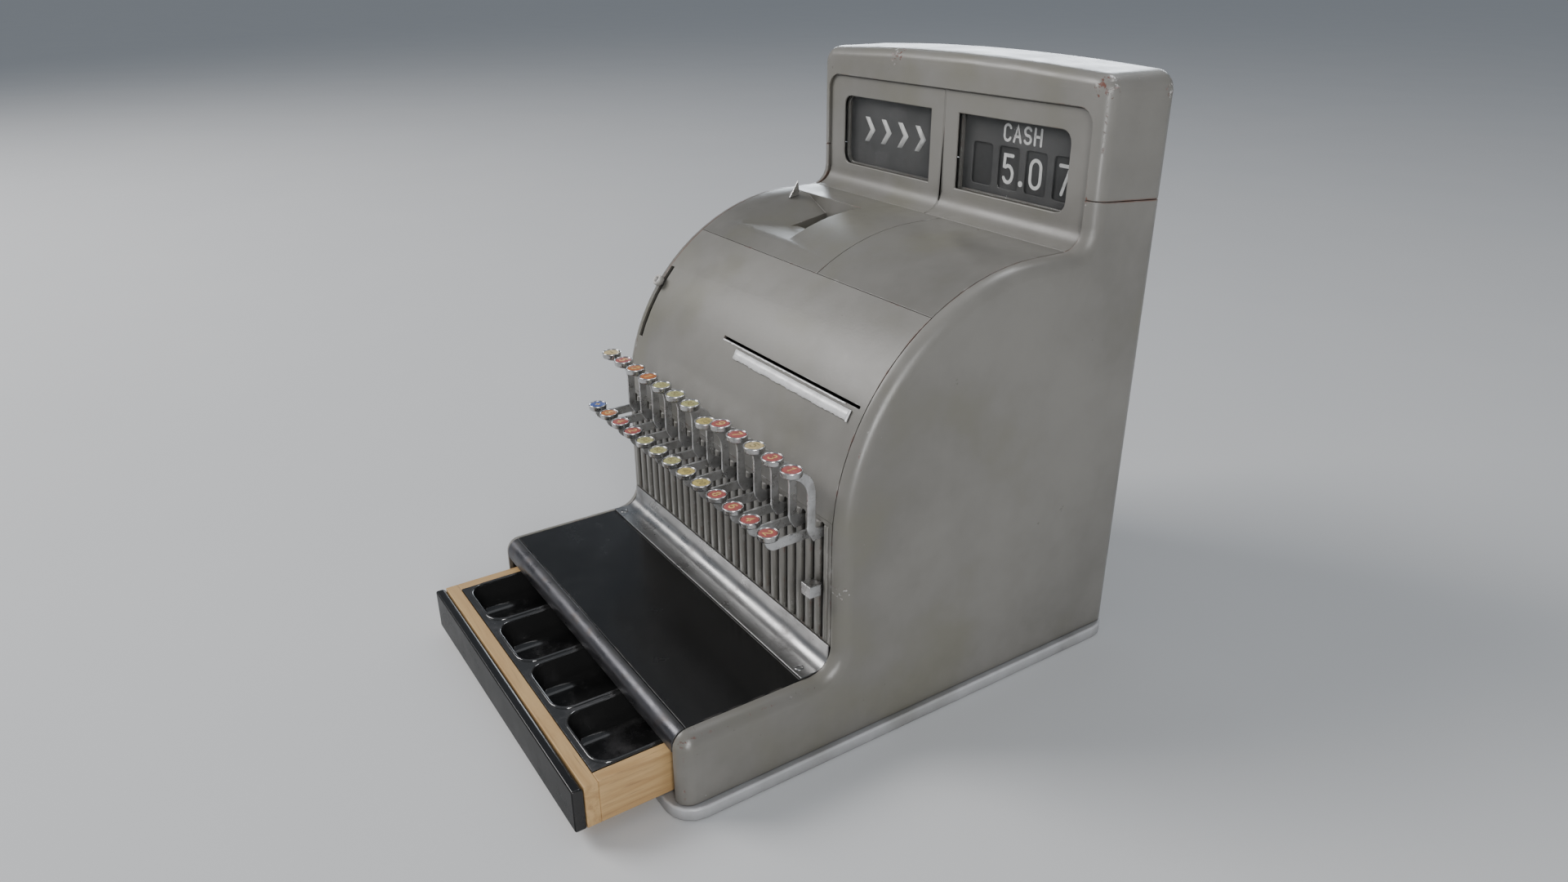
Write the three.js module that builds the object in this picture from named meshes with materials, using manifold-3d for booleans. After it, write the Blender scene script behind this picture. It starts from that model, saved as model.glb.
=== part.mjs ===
// Press-down-key cash register with an open cash drawer, in millimetres.
// +X is the operator's right, -Y faces the operator and +Z is up.
// The origin is the middle of the base pan's underside.
import * as THREE from 'three';
import Module from 'manifold-3d';
import { mergeVertices } from 'three/addons/utils/BufferGeometryUtils.js';

const wasm = await Module();
wasm.setup();

// ---- Driving dimensions -------------------------------------------------
const GAP = 0.3; // clearance between pieces that meet
const SHEET = 2.5; // thickness of the pressed panels
const WALL = 4; // thickness of the cast side shells and display housing
const EDGE_R = 13; // rounding round the edges of the housing

const HALF_W = 185.6; // housing, half width
const SEAM_X = HALF_W - EDGE_R; // inner edge of the side shells
const PANEL_X = SEAM_X - 0.4; // half width of the panels between the shells
const FRONT_Y = -232;
const REAR_Y = 236;

const BASE_HALF_W = 191.5;
const BASE_HALF_D = 238;
const BASE_H = 12;
const BASE_FLOOR = 4;
const BASE_CORNER_R = 24;
const BASE_INSIDE = { halfW: 180, halfD: 226 };

const SHELF_Z = 76.5; // top of the wrapping shelf
const SHELF_NOSE_R = 14;
const FACE_Y = -87; // upright face that the keys come through
const FACE_FOOT_R = 20;
const NOSING = { r: 12, thickness: 3, z0: 58.5 };
const COVE = { y0: -115, y1: -88.8, r: 12, thickness: 1.5, top: 98.5 };
const ARC_Y = 105; // centre of the curved front
const ARC_Z = 195;
const ARC_R = 192;
const TOP_Z = ARC_Z + ARC_R;
const COVER_SEAM_DEG = 57.3; // angle up the curved front where the top covers start
const LID_SEAM_X = 24;

const DISPLAY_Y = 154; // front of the display housing
const BEZEL_Y = 157;
const COVE_R = 18; // hollow rounding from the top covers to the display
const DISPLAY_END_Z = 521;
const DISPLAY_CROWN = 5;
const DISPLAY_CORNER_R = 16;
const DISPLAY_SEAM_FRONT_Z = 426;
const DISPLAY_SEAM_REAR_Z = 420;
const BEZEL_TOP_Z = 495;
const BEZEL_CORNER_R = 15;
const WINDOW = { x0: 18.3, x1: 150, z0: 410.5, z1: 476, r: 10 };
const GLASS_Y = BEZEL_Y + SHEET + GAP;
const PLATE_Y = 167; // plates seen behind the glass
const PLATE_T = 1.5;
const PLATE_Z = [402, 480];

const KEY_PITCH = 12.856;
const KEY_COUNT = 26;
const KEY_PLATE = 2.2; // thickness of a key lever
const KEY_PIVOT = [60, 190];
const KEY_SHAFT_R = 4;
const CAP_R = 9;
const CAP_H = 5.5;
const HUB_R = 8; // boss where a lever turns on the shaft
const UPPER_CAP = { y: -116, z: 259 };
const LOWER_CAP = { y: -129, z: 204 };
const SHORT_UPPER_KEY = 6; // this upper key, counted from the right, stands lower
const SHORT_KEY_DROP = 7;
const SLOT_W = 5.2;
const SLOT_Z = [99, 206];
const SLOT_PANEL_Z = [97, 209];

const DRAWER_FRONT_Y = -309;
const DRAWER_FRONT_T = 9.4;
const DRAWER_HALF_W = 162.3;
const DRAWER_Z = [12.6, 51.4];
const BOX_Y = [DRAWER_FRONT_Y + DRAWER_FRONT_T + GAP, DRAWER_FRONT_Y + DRAWER_FRONT_T + GAP + 400];
const DRAWER_BOTTOM = 4;
const BOARD = 11.6; // thickness of the drawer's boards
const TRAY_REAR_Y = 78;
const CUP_PITCH = 75.6;
const CUP_HALF_W = 33.5;
const CUP_ROWS = [[-281, -172], [-164, 72]];
const CUP_FLOOR_Z = 21;
const CUP_CORNER_R = 14;
const TRAY_TOP_Z = 52;
const RAIL_X = [163.2, 171.8]; // rails that guide the drawer
const RAIL_TOP_Z = 55;

const FRAME_X = [163, 166]; // side plates of the mechanism frame
const FRAME_FOOT_Z = 55.3;
const ROLL = { y: 62, z: 300, r: 26, coreR: 5.5, x0: -130, width: 57 };
const BELL = { x: 100, z: 250, r: 30, depth: 26 };
const LATCH_PIVOT = [128, 67];
const FLAG_X0 = 41.5; // middle of the first indicator flag
const FLAG_PITCH = 32.2;
const FLAG_Y = [PLATE_Y + 2.2, PLATE_Y + 3.4];
const FLAG_WINDOW = { w: 25, z0: 417, z1: 453 };
const CHUTE = { x1: -50, lip: -106, y0: 22, y1: 104, rampY: 70, rampZ: 364, bottom: 344 };
const CHUTE_SLOPE = { z: 307.7, perX: -0.43, perY: 0.182 }; // z of its sloping floor at x 0, y 0
const CUTTER_X = [-140.8, -139.2];
const SLIP_SLOT = { x0: -32, x1: 166, z: 296 };
const SLIP_TABLE = { x0: -6, x1: 159, z: 288, width: 9.5, thickness: 1.3 };
const SELECTOR = { x: -167.7, knobDeg: 37.2, slotDeg: [20.4, 43] };

// ---- Materials ----------------------------------------------------------
function finish(color, roughness, metalness) {
  return new THREE.MeshStandardMaterial({ color, roughness, metalness });
}

const GREY_PAINT = finish(0x807c76, 0.45, 0.1);
const RAIL_PAINT = finish(0xa5a6ac, 0.5, 0.1);
const BLACK_GLOSS = finish(0x0b0b0c, 0.2, 0);
const WORN_STEEL = finish(0x77787c, 0.35, 0.9);
const BRUSHED = finish(0x9a9b9e, 0.35, 1);
const CHROME = finish(0xc8c8ca, 0.15, 1);
const WOOD = finish(0xb08a5c, 0.6, 0);
const DARK_PLATE = finish(0x3b3a3a, 0.6, 0);
const GLASS = finish(0xdfe4e6, 0.05, 0);
const CAST = finish(0x5a5a5c, 0.6, 0.8);
const BRASS = finish(0xb08d4a, 0.3, 1);
const PAPER = finish(0xe8e4da, 0.9, 0);

// ---- Solids -------------------------------------------------------------
const ALONG_X = new THREE.Matrix4().set(0, 0, 1, 0, 1, 0, 0, 0, 0, 1, 0, 0, 0, 0, 0, 1);
const ALONG_Y = new THREE.Matrix4().set(1, 0, 0, 0, 0, 0, -1, 0, 0, 1, 0, 0, 0, 0, 0, 1);

function solid(geometry) {
  const bare = geometry.index ? geometry.toNonIndexed() : geometry.clone();
  bare.deleteAttribute('normal');
  bare.deleteAttribute('uv');
  const merged = mergeVertices(bare, 1e-4);
  const mesh = new wasm.Mesh({
    numProp: 3,
    vertProperties: Float32Array.from(merged.attributes.position.array),
    triVerts: Uint32Array.from(merged.index.array),
  });
  return new wasm.Manifold(mesh);
}

function geometryOf(manifold) {
  const mesh = manifold.getMesh();
  const geometry = new THREE.BufferGeometry();
  geometry.setAttribute('position', new THREE.BufferAttribute(mesh.vertProperties, 3));
  geometry.setIndex(new THREE.BufferAttribute(mesh.triVerts, 1));
  geometry.computeVertexNormals();
  return geometry;
}

function joined(...pieces) {
  return pieces.reduce((whole, piece) => whole.add(piece));
}

function without(body, ...cuts) {
  return cuts.reduce((rest, cut) => rest.subtract(cut), body);
}

function box(x, y, z) {
  const geometry = new THREE.BoxGeometry(x[1] - x[0], y[1] - y[0], z[1] - z[0]);
  geometry.translate((x[0] + x[1]) / 2, (y[0] + y[1]) / 2, (z[0] + z[1]) / 2);
  return solid(geometry);
}

function arc(cx, cy, r, fromDeg, toDeg, steps) {
  const points = [];
  for (let i = 0; i <= steps; i += 1) {
    const angle = THREE.MathUtils.degToRad(fromDeg + ((toDeg - fromDeg) * i) / steps);
    points.push([cx + r * Math.cos(angle), cy + r * Math.sin(angle)]);
  }
  return points;
}

function roundedRect(x, y, r, steps = 4) {
  return [
    ...arc(x[1] - r, y[0] + r, r, -90, 0, steps),
    ...arc(x[1] - r, y[1] - r, r, 0, 90, steps),
    ...arc(x[0] + r, y[1] - r, r, 90, 180, steps),
    ...arc(x[0] + r, y[0] + r, r, 180, 270, steps),
  ];
}

function shapeOf(points) {
  return new THREE.Shape(points.map(([a, b]) => new THREE.Vector2(a, b)));
}

// A flat outline pushed out along an axis, from `span[0]` to `span[1]`.
function prism(points, axis, span, holes = []) {
  const shape = shapeOf(points);
  holes.forEach((hole) => shape.holes.push(shapeOf(hole)));
  const depth = span[1] - span[0];
  const geometry = new THREE.ExtrudeGeometry(shape, { depth, bevelEnabled: false });
  return placeAlong(geometry, axis, span);
}

// The same with both ends rounded over, and the whole skin moved in by `wall`.
function pillow(points, axis, span, radius, wall = 0) {
  const r = radius - wall;
  const geometry = new THREE.ExtrudeGeometry(shapeOf(points), {
    depth: span[1] - span[0] - 2 * radius,
    bevelThickness: r,
    bevelSize: r,
    bevelOffset: -radius,
    bevelSegments: 5,
  });
  geometry.translate(0, 0, radius);
  return placeAlong(geometry, axis, span);
}

function placeAlong(geometry, axis, span) {
  if (axis === 'x') {
    geometry.applyMatrix4(ALONG_X).translate(span[0], 0, 0);
  } else if (axis === 'y') {
    geometry.applyMatrix4(ALONG_Y).translate(0, span[1], 0);
  } else {
    geometry.translate(0, 0, span[0]);
  }
  return solid(geometry);
}

function rod(axis, span, centre, r, sides = 16) {
  return prism(arc(centre[0], centre[1], r, 0, 360 - 360 / sides, sides - 1), axis, span);
}

function mirrored(manifold) {
  const mesh = manifold.getMesh();
  const positions = Float32Array.from(mesh.vertProperties);
  for (let i = 0; i < positions.length; i += 3) {
    positions[i] *= -1;
  }
  const faces = Uint32Array.from(mesh.triVerts);
  for (let i = 0; i < faces.length; i += 3) {
    [faces[i], faces[i + 1]] = [faces[i + 1], faces[i]];
  }
  return new wasm.Manifold(new wasm.Mesh({ numProp: 3, vertProperties: positions, triVerts: faces }));
}

const register = new THREE.Group();

function addPart(name, manifold, material) {
  const mesh = new THREE.Mesh(geometryOf(manifold), material);
  mesh.name = name;
  register.add(mesh);
}

// ---- Base ---------------------------------------------------------------
function basePan() {
  const outline = roundedRect([-BASE_HALF_W, BASE_HALF_W], [-BASE_HALF_D, BASE_HALF_D], BASE_CORNER_R);
  const { halfW, halfD } = BASE_INSIDE;
  const pocket = box([-halfW, halfW], [-halfD, halfD], [BASE_FLOOR, BASE_H + 1]);
  const tray = without(prism(outline, 'z', [0, BASE_H]), pocket);
  const rail = box(RAIL_X, [-222, 224], [BASE_FLOOR - 1, RAIL_TOP_Z]);
  return joined(tray, rail, mirrored(rail));
}

// ---- Housing ------------------------------------------------------------
function seamZ(y) {
  const slope = (DISPLAY_SEAM_REAR_Z - DISPLAY_SEAM_FRONT_Z) / (REAR_Y - DISPLAY_Y);
  return DISPLAY_SEAM_FRONT_Z + slope * (y - DISPLAY_Y);
}

// Side view of the housing, carried on past its cut edges at top and bottom.
function sideOutline() {
  return [
    [FRONT_Y, -40],
    [REAR_Y, -40],
    [REAR_Y, 480],
    [DISPLAY_Y, 480],
    ...arc(DISPLAY_Y - COVE_R, TOP_Z + COVE_R, COVE_R, 0, -90, 5),
    ...arc(ARC_Y, ARC_Z, ARC_R, 90, 180, 20),
    ...arc(FACE_Y - FACE_FOOT_R, SHELF_Z + FACE_FOOT_R, FACE_FOOT_R, 0, -90, 5),
    ...arc(FRONT_Y + SHELF_NOSE_R, SHELF_Z - SHELF_NOSE_R, SHELF_NOSE_R, 90, 180, 5),
  ];
}

function sideShell() {
  const outer = pillow(sideOutline(), 'x', [100, HALF_W], EDGE_R);
  const hollow = pillow(sideOutline(), 'x', [60, HALF_W], EDGE_R, WALL);
  const keep = prism(
    [[-400, BASE_H + GAP], [400, BASE_H + GAP], [400, seamZ(400) - 0.2], [-400, seamZ(-400) - 0.2]],
    'x',
    [SEAM_X + 0.05, 300],
  );
  return without(outer, hollow).intersect(keep);
}

function crownZ(x) {
  const half = HALF_W - DISPLAY_CORNER_R;
  return DISPLAY_END_Z + DISPLAY_CROWN * (1 - (x / half) ** 2);
}

function displayOutline() {
  const corner = HALF_W - DISPLAY_CORNER_R;
  const crown = [];
  for (let i = 5; i >= -5; i -= 1) {
    const x = (corner * i) / 6;
    crown.push([x, crownZ(x)]);
  }
  return [
    [-HALF_W, 380],
    [HALF_W, 380],
    ...arc(corner, DISPLAY_END_Z - DISPLAY_CORNER_R, DISPLAY_CORNER_R, 0, 87, 5),
    ...crown,
    ...arc(-corner, DISPLAY_END_Z - DISPLAY_CORNER_R, DISPLAY_CORNER_R, 93, 180, 5),
  ];
}

function bezelOutline(margin) {
  const half = PANEL_X + margin;
  const r = BEZEL_CORNER_R;
  const corner = { x: half - r, z: BEZEL_TOP_Z + margin - r };
  return [
    [-half, 370],
    [half, 370],
    ...arc(corner.x, corner.z, r, 0, 90, 5),
    ...arc(-corner.x, corner.z, r, 90, 180, 5),
  ];
}

function displayHousing() {
  const span = [DISPLAY_Y, REAR_Y];
  const outer = pillow(displayOutline(), 'y', span, EDGE_R);
  const hollow = pillow(displayOutline(), 'y', span, EDGE_R, WALL);
  const opening = prism(bezelOutline(0.4), 'y', [DISPLAY_Y - 5, DISPLAY_Y + 12]);
  const keep = prism(
    [[-400, seamZ(-400) + 0.2], [400, seamZ(400) + 0.2], [400, 700], [-400, 700]],
    'x',
    [-300, 300],
  );
  return without(outer, hollow, opening).intersect(keep);
}

function windowBezel() {
  const section = [
    [BEZEL_Y, BEZEL_TOP_Z],
    ...arc(BEZEL_Y - COVE_R, TOP_Z + COVE_R, COVE_R, 0, -90, 5),
    ...arc(BEZEL_Y - COVE_R, TOP_Z + COVE_R, COVE_R + SHEET, -90, 0, 5),
    [BEZEL_Y + SHEET, BEZEL_TOP_Z],
  ];
  const plate = prism(section, 'x', [-PANEL_X, PANEL_X]);
  const outline = prism(bezelOutline(0), 'y', [100, 180]);
  const opening = windowOutline();
  const right = prism(opening, 'y', [BEZEL_Y - 2, BEZEL_Y + 6]);
  return without(plate.intersect(outline), right, mirrored(right));
}

// Window outline: square corners beside the middle bar, round ones outside.
function windowOutline() {
  const w = WINDOW;
  return [
    [w.x0, w.z0],
    ...arc(w.x1 - w.r, w.z0 + w.r, w.r, -90, 0, 4),
    ...arc(w.x1 - w.r, w.z1 - w.r, w.r, 0, 90, 4),
    [w.x0, w.z1],
  ];
}

// Strip of the curved skin between two angles, measured up from the upright face.
function skinStrip(fromDeg, toDeg, steps) {
  const outer = arc(ARC_Y, ARC_Z, ARC_R, 180 - fromDeg, 180 - toDeg, steps);
  const inner = arc(ARC_Y, ARC_Z, ARC_R - SHEET, 180 - toDeg, 180 - fromDeg, steps);
  return { outer, inner };
}

function frontPanel() {
  const skin = skinStrip(0, COVER_SEAM_DEG, 12);
  const section = [
    [FACE_Y, SLOT_PANEL_Z[1] + GAP],
    ...skin.outer,
    ...skin.inner,
    [FACE_Y + SHEET, SLOT_PANEL_Z[1] + GAP],
  ].filter(([, z]) => z > SLOT_PANEL_Z[1]);
  const panel = prism(section, 'x', [-PANEL_X, PANEL_X]);
  const slip = onSkin(SLIP_SLOT.z, 2.4, 14, -8, [SLIP_SLOT.x0, SLIP_SLOT.x1]);
  return without(panel, slip, selectorSlot());
}

// Bar across the curved skin at height z: `width` along the curve, standing from `inner` to
// `inner + depth` measured outwards from the skin's surface.
function onSkin(z, width, depth, inner, xSpan) {
  const angle = Math.asin((z - ARC_Z) / ARC_R);
  const along = [Math.sin(angle), Math.cos(angle)];
  const normal = [-Math.cos(angle), Math.sin(angle)];
  const point = (radial, step) => [
    ARC_Y + normal[0] * (ARC_R + radial) + along[0] * step,
    ARC_Z + normal[1] * (ARC_R + radial) + along[1] * step,
  ];
  const h = width / 2;
  return prism(
    [point(inner, -h), point(inner, h), point(inner + depth, h), point(inner + depth, -h)],
    'x',
    xSpan,
  );
}

function slipTable() {
  const { x0, x1, z, width, thickness } = SLIP_TABLE;
  return onSkin(z, width, thickness, GAP, [x0, x1]);
}

function selectorSlot() {
  const [low, high] = SELECTOR.slotDeg;
  const ring = [
    ...arc(ARC_Y, ARC_Z, ARC_R + 8, 180 - low, 180 - high, 6),
    ...arc(ARC_Y, ARC_Z, ARC_R - 8, 180 - high, 180 - low, 6),
  ];
  return prism(ring, 'x', [SELECTOR.x - 3, SELECTOR.x + 3]);
}

function slotX(index) {
  return ((KEY_COUNT - 1) / 2 - index) * KEY_PITCH;
}

function slottedPanel() {
  const panel = box([-PANEL_X, PANEL_X], [FACE_Y, FACE_Y + SHEET], SLOT_PANEL_Z);
  const slots = [];
  for (let i = 0; i < KEY_COUNT; i += 1) {
    const x = slotX(i);
    const outline = [
      [x - SLOT_W / 2, SLOT_Z[0]],
      [x + SLOT_W / 2, SLOT_Z[0]],
      [x + SLOT_W / 2, SLOT_Z[1] - 1.5],
      [x, SLOT_Z[1]],
      [x - SLOT_W / 2, SLOT_Z[1] - 1.5],
    ];
    slots.push(prism(outline, 'y', [FACE_Y - 1, FACE_Y + SHEET + 1]));
  }
  return without(panel, ...slots);
}

function coverSkin(xSpan) {
  const skin = skinStrip(COVER_SEAM_DEG + 0.15, 90, 7);
  const rear = BEZEL_Y - COVE_R - GAP;
  const section = [...skin.outer, [rear, TOP_Z], [rear, TOP_Z - SHEET], ...skin.inner];
  return prism(section, 'x', xSpan);
}

// Tilted sheet that the receipt slides up, as its height over a point.
function chuteSlopeZ(x, y) {
  return CHUTE_SLOPE.z + CHUTE_SLOPE.perX * x + CHUTE_SLOPE.perY * y;
}

// Wedge-shaped well for the receipt: its floor slopes down from the left to a dark throat.
function chuteWell(grow) {
  const c = CHUTE;
  const lip = c.lip - grow / 2;
  const section = [
    [-170, chuteSlopeZ(-170, 0) - grow],
    [lip, chuteSlopeZ(lip, 0) - grow],
    [lip, c.bottom - 20],
    [c.x1 + grow, c.bottom - 20],
    [c.x1 + grow, TOP_Z + 20],
    [-170, TOP_Z + 20],
  ];
  const tilt = new THREE.Matrix4().makeShear(0, 0, 0, CHUTE_SLOPE.perY, 0, 0);
  const well = prism(section, 'y', [c.y0 - grow, c.y1 + grow]).transform(tilt.elements);
  return without(well, chuteRamp(grow), box([-200, 0], [0, 200], [250, c.bottom]));
}

// Front of the well, a gentle ramp down from the curved skin.
function chuteRamp(grow) {
  const c = CHUTE;
  const top = skinZ(c.y0);
  const outline = [
    [c.y0 - 30, 300],
    [c.rampY - grow, 300],
    [c.rampY - grow, c.rampZ - grow],
    [c.y0 - grow, top - grow],
    [c.y0 - grow, TOP_Z + 20],
    [c.y0 - 30, TOP_Z + 20],
  ];
  return prism(outline, 'x', [-200, 0]);
}

function skinZ(y) {
  return ARC_Z + Math.sqrt(ARC_R ** 2 - (y - ARC_Y) ** 2);
}

function topCoverLeft() {
  const rear = BEZEL_Y - COVE_R - GAP;
  const underSkin = prism(
    [...skinStrip(COVER_SEAM_DEG + 0.15, 90, 7).outer, [rear, TOP_Z], [rear, 330], [10, 330]],
    'x',
    [-168, -30],
  );
  const well = chuteWell(2).intersect(underSkin);
  const throat = box([CHUTE.lip, CHUTE.x1], [CHUTE.rampY, CHUTE.y1], [300, 360]);
  return without(joined(coverSkin([-PANEL_X, LID_SEAM_X - GAP]), well), chuteWell(0), throat);
}

function rearPanel() {
  return box([-PANEL_X, PANEL_X], [REAR_Y - SHEET, REAR_Y], [BASE_H + GAP, DISPLAY_SEAM_REAR_Z - 0.5]);
}

// ---- Shelf --------------------------------------------------------------
function shelfNosing() {
  const { r, thickness, z0 } = NOSING;
  const centre = [FRONT_Y + r, SHELF_Z - r];
  const section = [
    ...arc(...centre, r, 90, 180, 6),
    [FRONT_Y, z0],
    [FRONT_Y + thickness, z0],
    ...arc(...centre, r - thickness, 180, 90, 6),
  ];
  return prism(section, 'x', [-PANEL_X, PANEL_X]);
}

function coveStrip() {
  const { y0, y1, r, thickness, top } = COVE;
  const low = SHELF_Z + GAP;
  const centre = [y1 - r, low + r + thickness];
  const section = [
    [y0, low],
    [centre[0], low],
    ...arc(...centre, r + thickness, -90, 0, 6),
    [y1 + thickness, top],
    [y1, top],
    ...arc(...centre, r, 0, -90, 6),
    [y0, low + thickness],
  ];
  return prism(section, 'x', [-PANEL_X, PANEL_X]);
}

// ---- Drawer -------------------------------------------------------------
function drawerFront() {
  const y = [DRAWER_FRONT_Y, DRAWER_FRONT_Y + DRAWER_FRONT_T];
  const section = [
    [y[0], DRAWER_Z[0]],
    [y[1], DRAWER_Z[0]],
    ...arc(y[1] - 4, DRAWER_Z[1] - 4, 4, 0, 90, 4),
    [y[0], DRAWER_Z[1]],
  ];
  return prism(section, 'x', [-DRAWER_HALF_W, DRAWER_HALF_W]);
}

function drawerBox() {
  const outer = box([-DRAWER_HALF_W, DRAWER_HALF_W], BOX_Y, DRAWER_Z);
  const inner = box(
    [BOARD - DRAWER_HALF_W, DRAWER_HALF_W - BOARD],
    [BOX_Y[0] + BOARD, BOX_Y[1] - BOARD],
    [DRAWER_Z[0] + DRAWER_BOTTOM, 60],
  );
  return without(outer, inner);
}

function drawerTray() {
  const half = DRAWER_HALF_W - BOARD - GAP;
  const y = [BOX_Y[0] + BOARD + GAP, TRAY_REAR_Y];
  const block = box([-half, half], y, [DRAWER_Z[0] + DRAWER_BOTTOM + GAP, TRAY_TOP_Z]);
  const cups = [];
  for (const row of CUP_ROWS) {
    for (let i = 0; i < 4; i += 1) {
      const x = (i - 1.5) * CUP_PITCH;
      const outline = roundedRect([x - CUP_HALF_W, x + CUP_HALF_W], row, CUP_CORNER_R, 3);
      cups.push(prism(outline, 'z', [CUP_FLOOR_Z, 60]));
    }
  }
  return without(block, ...cups);
}

// ---- Keys ---------------------------------------------------------------
function keyPlate(outline, x) {
  const span = [x - KEY_PLATE / 2, x + KEY_PLATE / 2];
  const hub = rod('x', span, KEY_PIVOT, HUB_R, 12);
  const bore = rod('x', [span[0] - 1, span[1] + 1], KEY_PIVOT, KEY_SHAFT_R + GAP + 0.15, 12);
  return without(joined(prism(outline, 'x', span), hub), bore);
}

function keyCap(x, place, drop) {
  const geometry = new THREE.CylinderGeometry(CAP_R, CAP_R - 0.6, CAP_H, 18);
  geometry.rotateX(Math.PI / 2).translate(x, place.y, place.z - drop - CAP_H / 2);
  return solid(geometry);
}

// The lever drops to a point in its slot, then rises and bends forward to the cap.
function upperKey(x, drop) {
  const under = UPPER_CAP.z - drop - CAP_H + 1;
  const outline = [
    [54, 194],
    [-84, 201],
    [-94.5, 203],
    ...arc(-108.5, 236 - drop, 14, 0, 60, 4),
    [-110, under],
    [-120, under],
    [-119.5, under - 4],
    ...arc(-110, 234 - drop, 8.5, 90, 0, 4),
    [-101.5, 200],
    [-96, 192],
    [-88, 193.5],
    [54, 186],
  ];
  return joined(keyPlate(outline, x), keyCap(x, UPPER_CAP, drop));
}

function lowerKey(x) {
  const under = LOWER_CAP.z - CAP_H + 1;
  const outline = [
    [54, 194],
    [-86, 195.5],
    [-121, 195.5],
    [-124, under],
    [-134, under],
    ...arc(-130, 191.5, 4.5, 180, 270, 3),
    [-86, 187.5],
    [54, 186],
  ];
  return joined(keyPlate(outline, x), keyCap(x, LOWER_CAP, 0));
}

// ---- Small fittings -----------------------------------------------------
function releaseLever() {
  const x = slotX(0);
  const half = KEY_PLATE / 2;
  const knob = box([x - 6, x + 6], [-103, -92], [144.5, 155]);
  const stem = box([x - half, x + half], [-93, -62], [146, 153]);
  const tail = box([x - half, x + half], [-74, -62], [126, 166]);
  return joined(knob, stem, tail);
}

function selectorLever() {
  const x = [SELECTOR.x - 0.8, SELECTOR.x + 0.8];
  const hub = rod('x', x, [ARC_Y, ARC_Z], 9);
  const bore = rod('x', [x[0] - 1, x[1] + 1], [ARC_Y, ARC_Z], 4.5, 12);
  const angle = THREE.MathUtils.degToRad(180 - SELECTOR.knobDeg);
  const arm = new THREE.BoxGeometry(1.6, ARC_R - 1, 7);
  arm.translate(0, (ARC_R - 1) / 2 + 6, 0).rotateX(angle).translate(SELECTOR.x, ARC_Y, ARC_Z);
  const knob = new THREE.CylinderGeometry(5, 5, 4, 16);
  knob.translate(0, ARC_R + 4.5, 0).rotateX(angle).translate(SELECTOR.x, ARC_Y, ARC_Z);
  return without(joined(hub, solid(arm), solid(knob)), bore);
}

// Small fin standing on the chute's slope, for tearing the receipt against.
function receiptCutter() {
  const foot = (y) => chuteSlopeZ(CUTTER_X[0], y) + GAP;
  const fin = [[83, foot(83)], [95, foot(95)], [94.6, foot(95) + 5], [93.3, 399.6]];
  return prism(fin, 'x', CUTTER_X);
}

// ---- Mechanism ----------------------------------------------------------
function mechanismFrame() {
  const y = [-60, 150];
  const z = FRAME_FOOT_Z;
  const profile = [[y[0], z], [y[1], z], [y[1], 370], [60, 370], [-10, 330], [y[0], 250]];
  const shaftHole = rod('x', [FRAME_X[0] - 1, FRAME_X[1] + 1], KEY_PIVOT, KEY_SHAFT_R + GAP + 0.1);
  const plate = without(prism(profile, 'x', FRAME_X), shaftHole);
  const span = [-FRAME_X[0] - 1, FRAME_X[0] + 1];
  const floor = box(span, y, [z, z + 3]);
  const stopBar = box(span, [-44, -34], [202, 212]);
  const rearBar = box(span, [138, 148], [330, 345]);
  const rollSpindle = rod('x', [-FRAME_X[1] + 1, -60], [ROLL.y, ROLL.z], 5, 14);
  const selectorPin = rod('x', [-170.3, -FRAME_X[0] - 1], [ARC_Y, ARC_Z], 4, 12);
  const latchPin = rod('x', [137, FRAME_X[0] + 1], LATCH_PIVOT, 3, 12);
  return joined(plate, mirrored(plate), floor, stopBar, rearBar, rollSpindle, selectorPin, latchPin);
}

function drawerLatch() {
  const span = [139, 142];
  const hook = [[158.5, 60], [158.5, 53.6], [164, 53.6], [166, 70]];
  const outline = [[126, 61], [150, 62], ...hook, [150, 72], [126, 73]];
  const hub = rod('x', span, LATCH_PIVOT, 7);
  const bore = rod('x', [span[0] - 1, span[1] + 1], LATCH_PIVOT, 3.4, 12);
  return without(joined(prism(outline, 'x', span), hub), bore);
}

// Turned shape: [radius, height] pairs, wound round +Z.
function turned(profile, sides) {
  return new THREE.LatheGeometry(profile.map(([a, b]) => new THREE.Vector2(a, b)), sides);
}

function bell() {
  const { r, depth } = BELL;
  const profile = [
    [0, 12],
    ...arc(0, -14, r - 1.6, 82, 14, 7),
    [r - 2.6, -8],
    ...arc(0, -14, r, 12, 82, 7),
    [4, 16],
    [4, depth],
    [0, depth],
  ];
  const geometry = turned(profile, 20);
  geometry.translate(BELL.x, REAR_Y - SHEET - GAP - depth, BELL.z);
  return solid(geometry);
}

function receiptRoll() {
  const { r, coreR, width } = ROLL;
  const geometry = turned([[coreR, 0], [r, 0], [r, width], [coreR, width], [coreR, 0]], 24);
  geometry.rotateZ(-Math.PI / 2).translate(ROLL.x0, ROLL.y, ROLL.z);
  return solid(geometry);
}

// ---- Indicator ----------------------------------------------------------
function flagX(index) {
  return FLAG_X0 + index * FLAG_PITCH;
}

function indicatorMask() {
  const holes = [];
  for (let i = 0; i < 4; i += 1) {
    const half = FLAG_WINDOW.w / 2;
    const x = [flagX(i) - half, flagX(i) + half];
    holes.push(roundedRect(x, [FLAG_WINDOW.z0, FLAG_WINDOW.z1], 3, 2));
  }
  const [z0, z1] = PLATE_Z;
  const outline = [[14, z0], [156, z0], [156, z1], [14, z1]];
  return prism(outline, 'y', [PLATE_Y, PLATE_Y + PLATE_T], holes);
}

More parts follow.
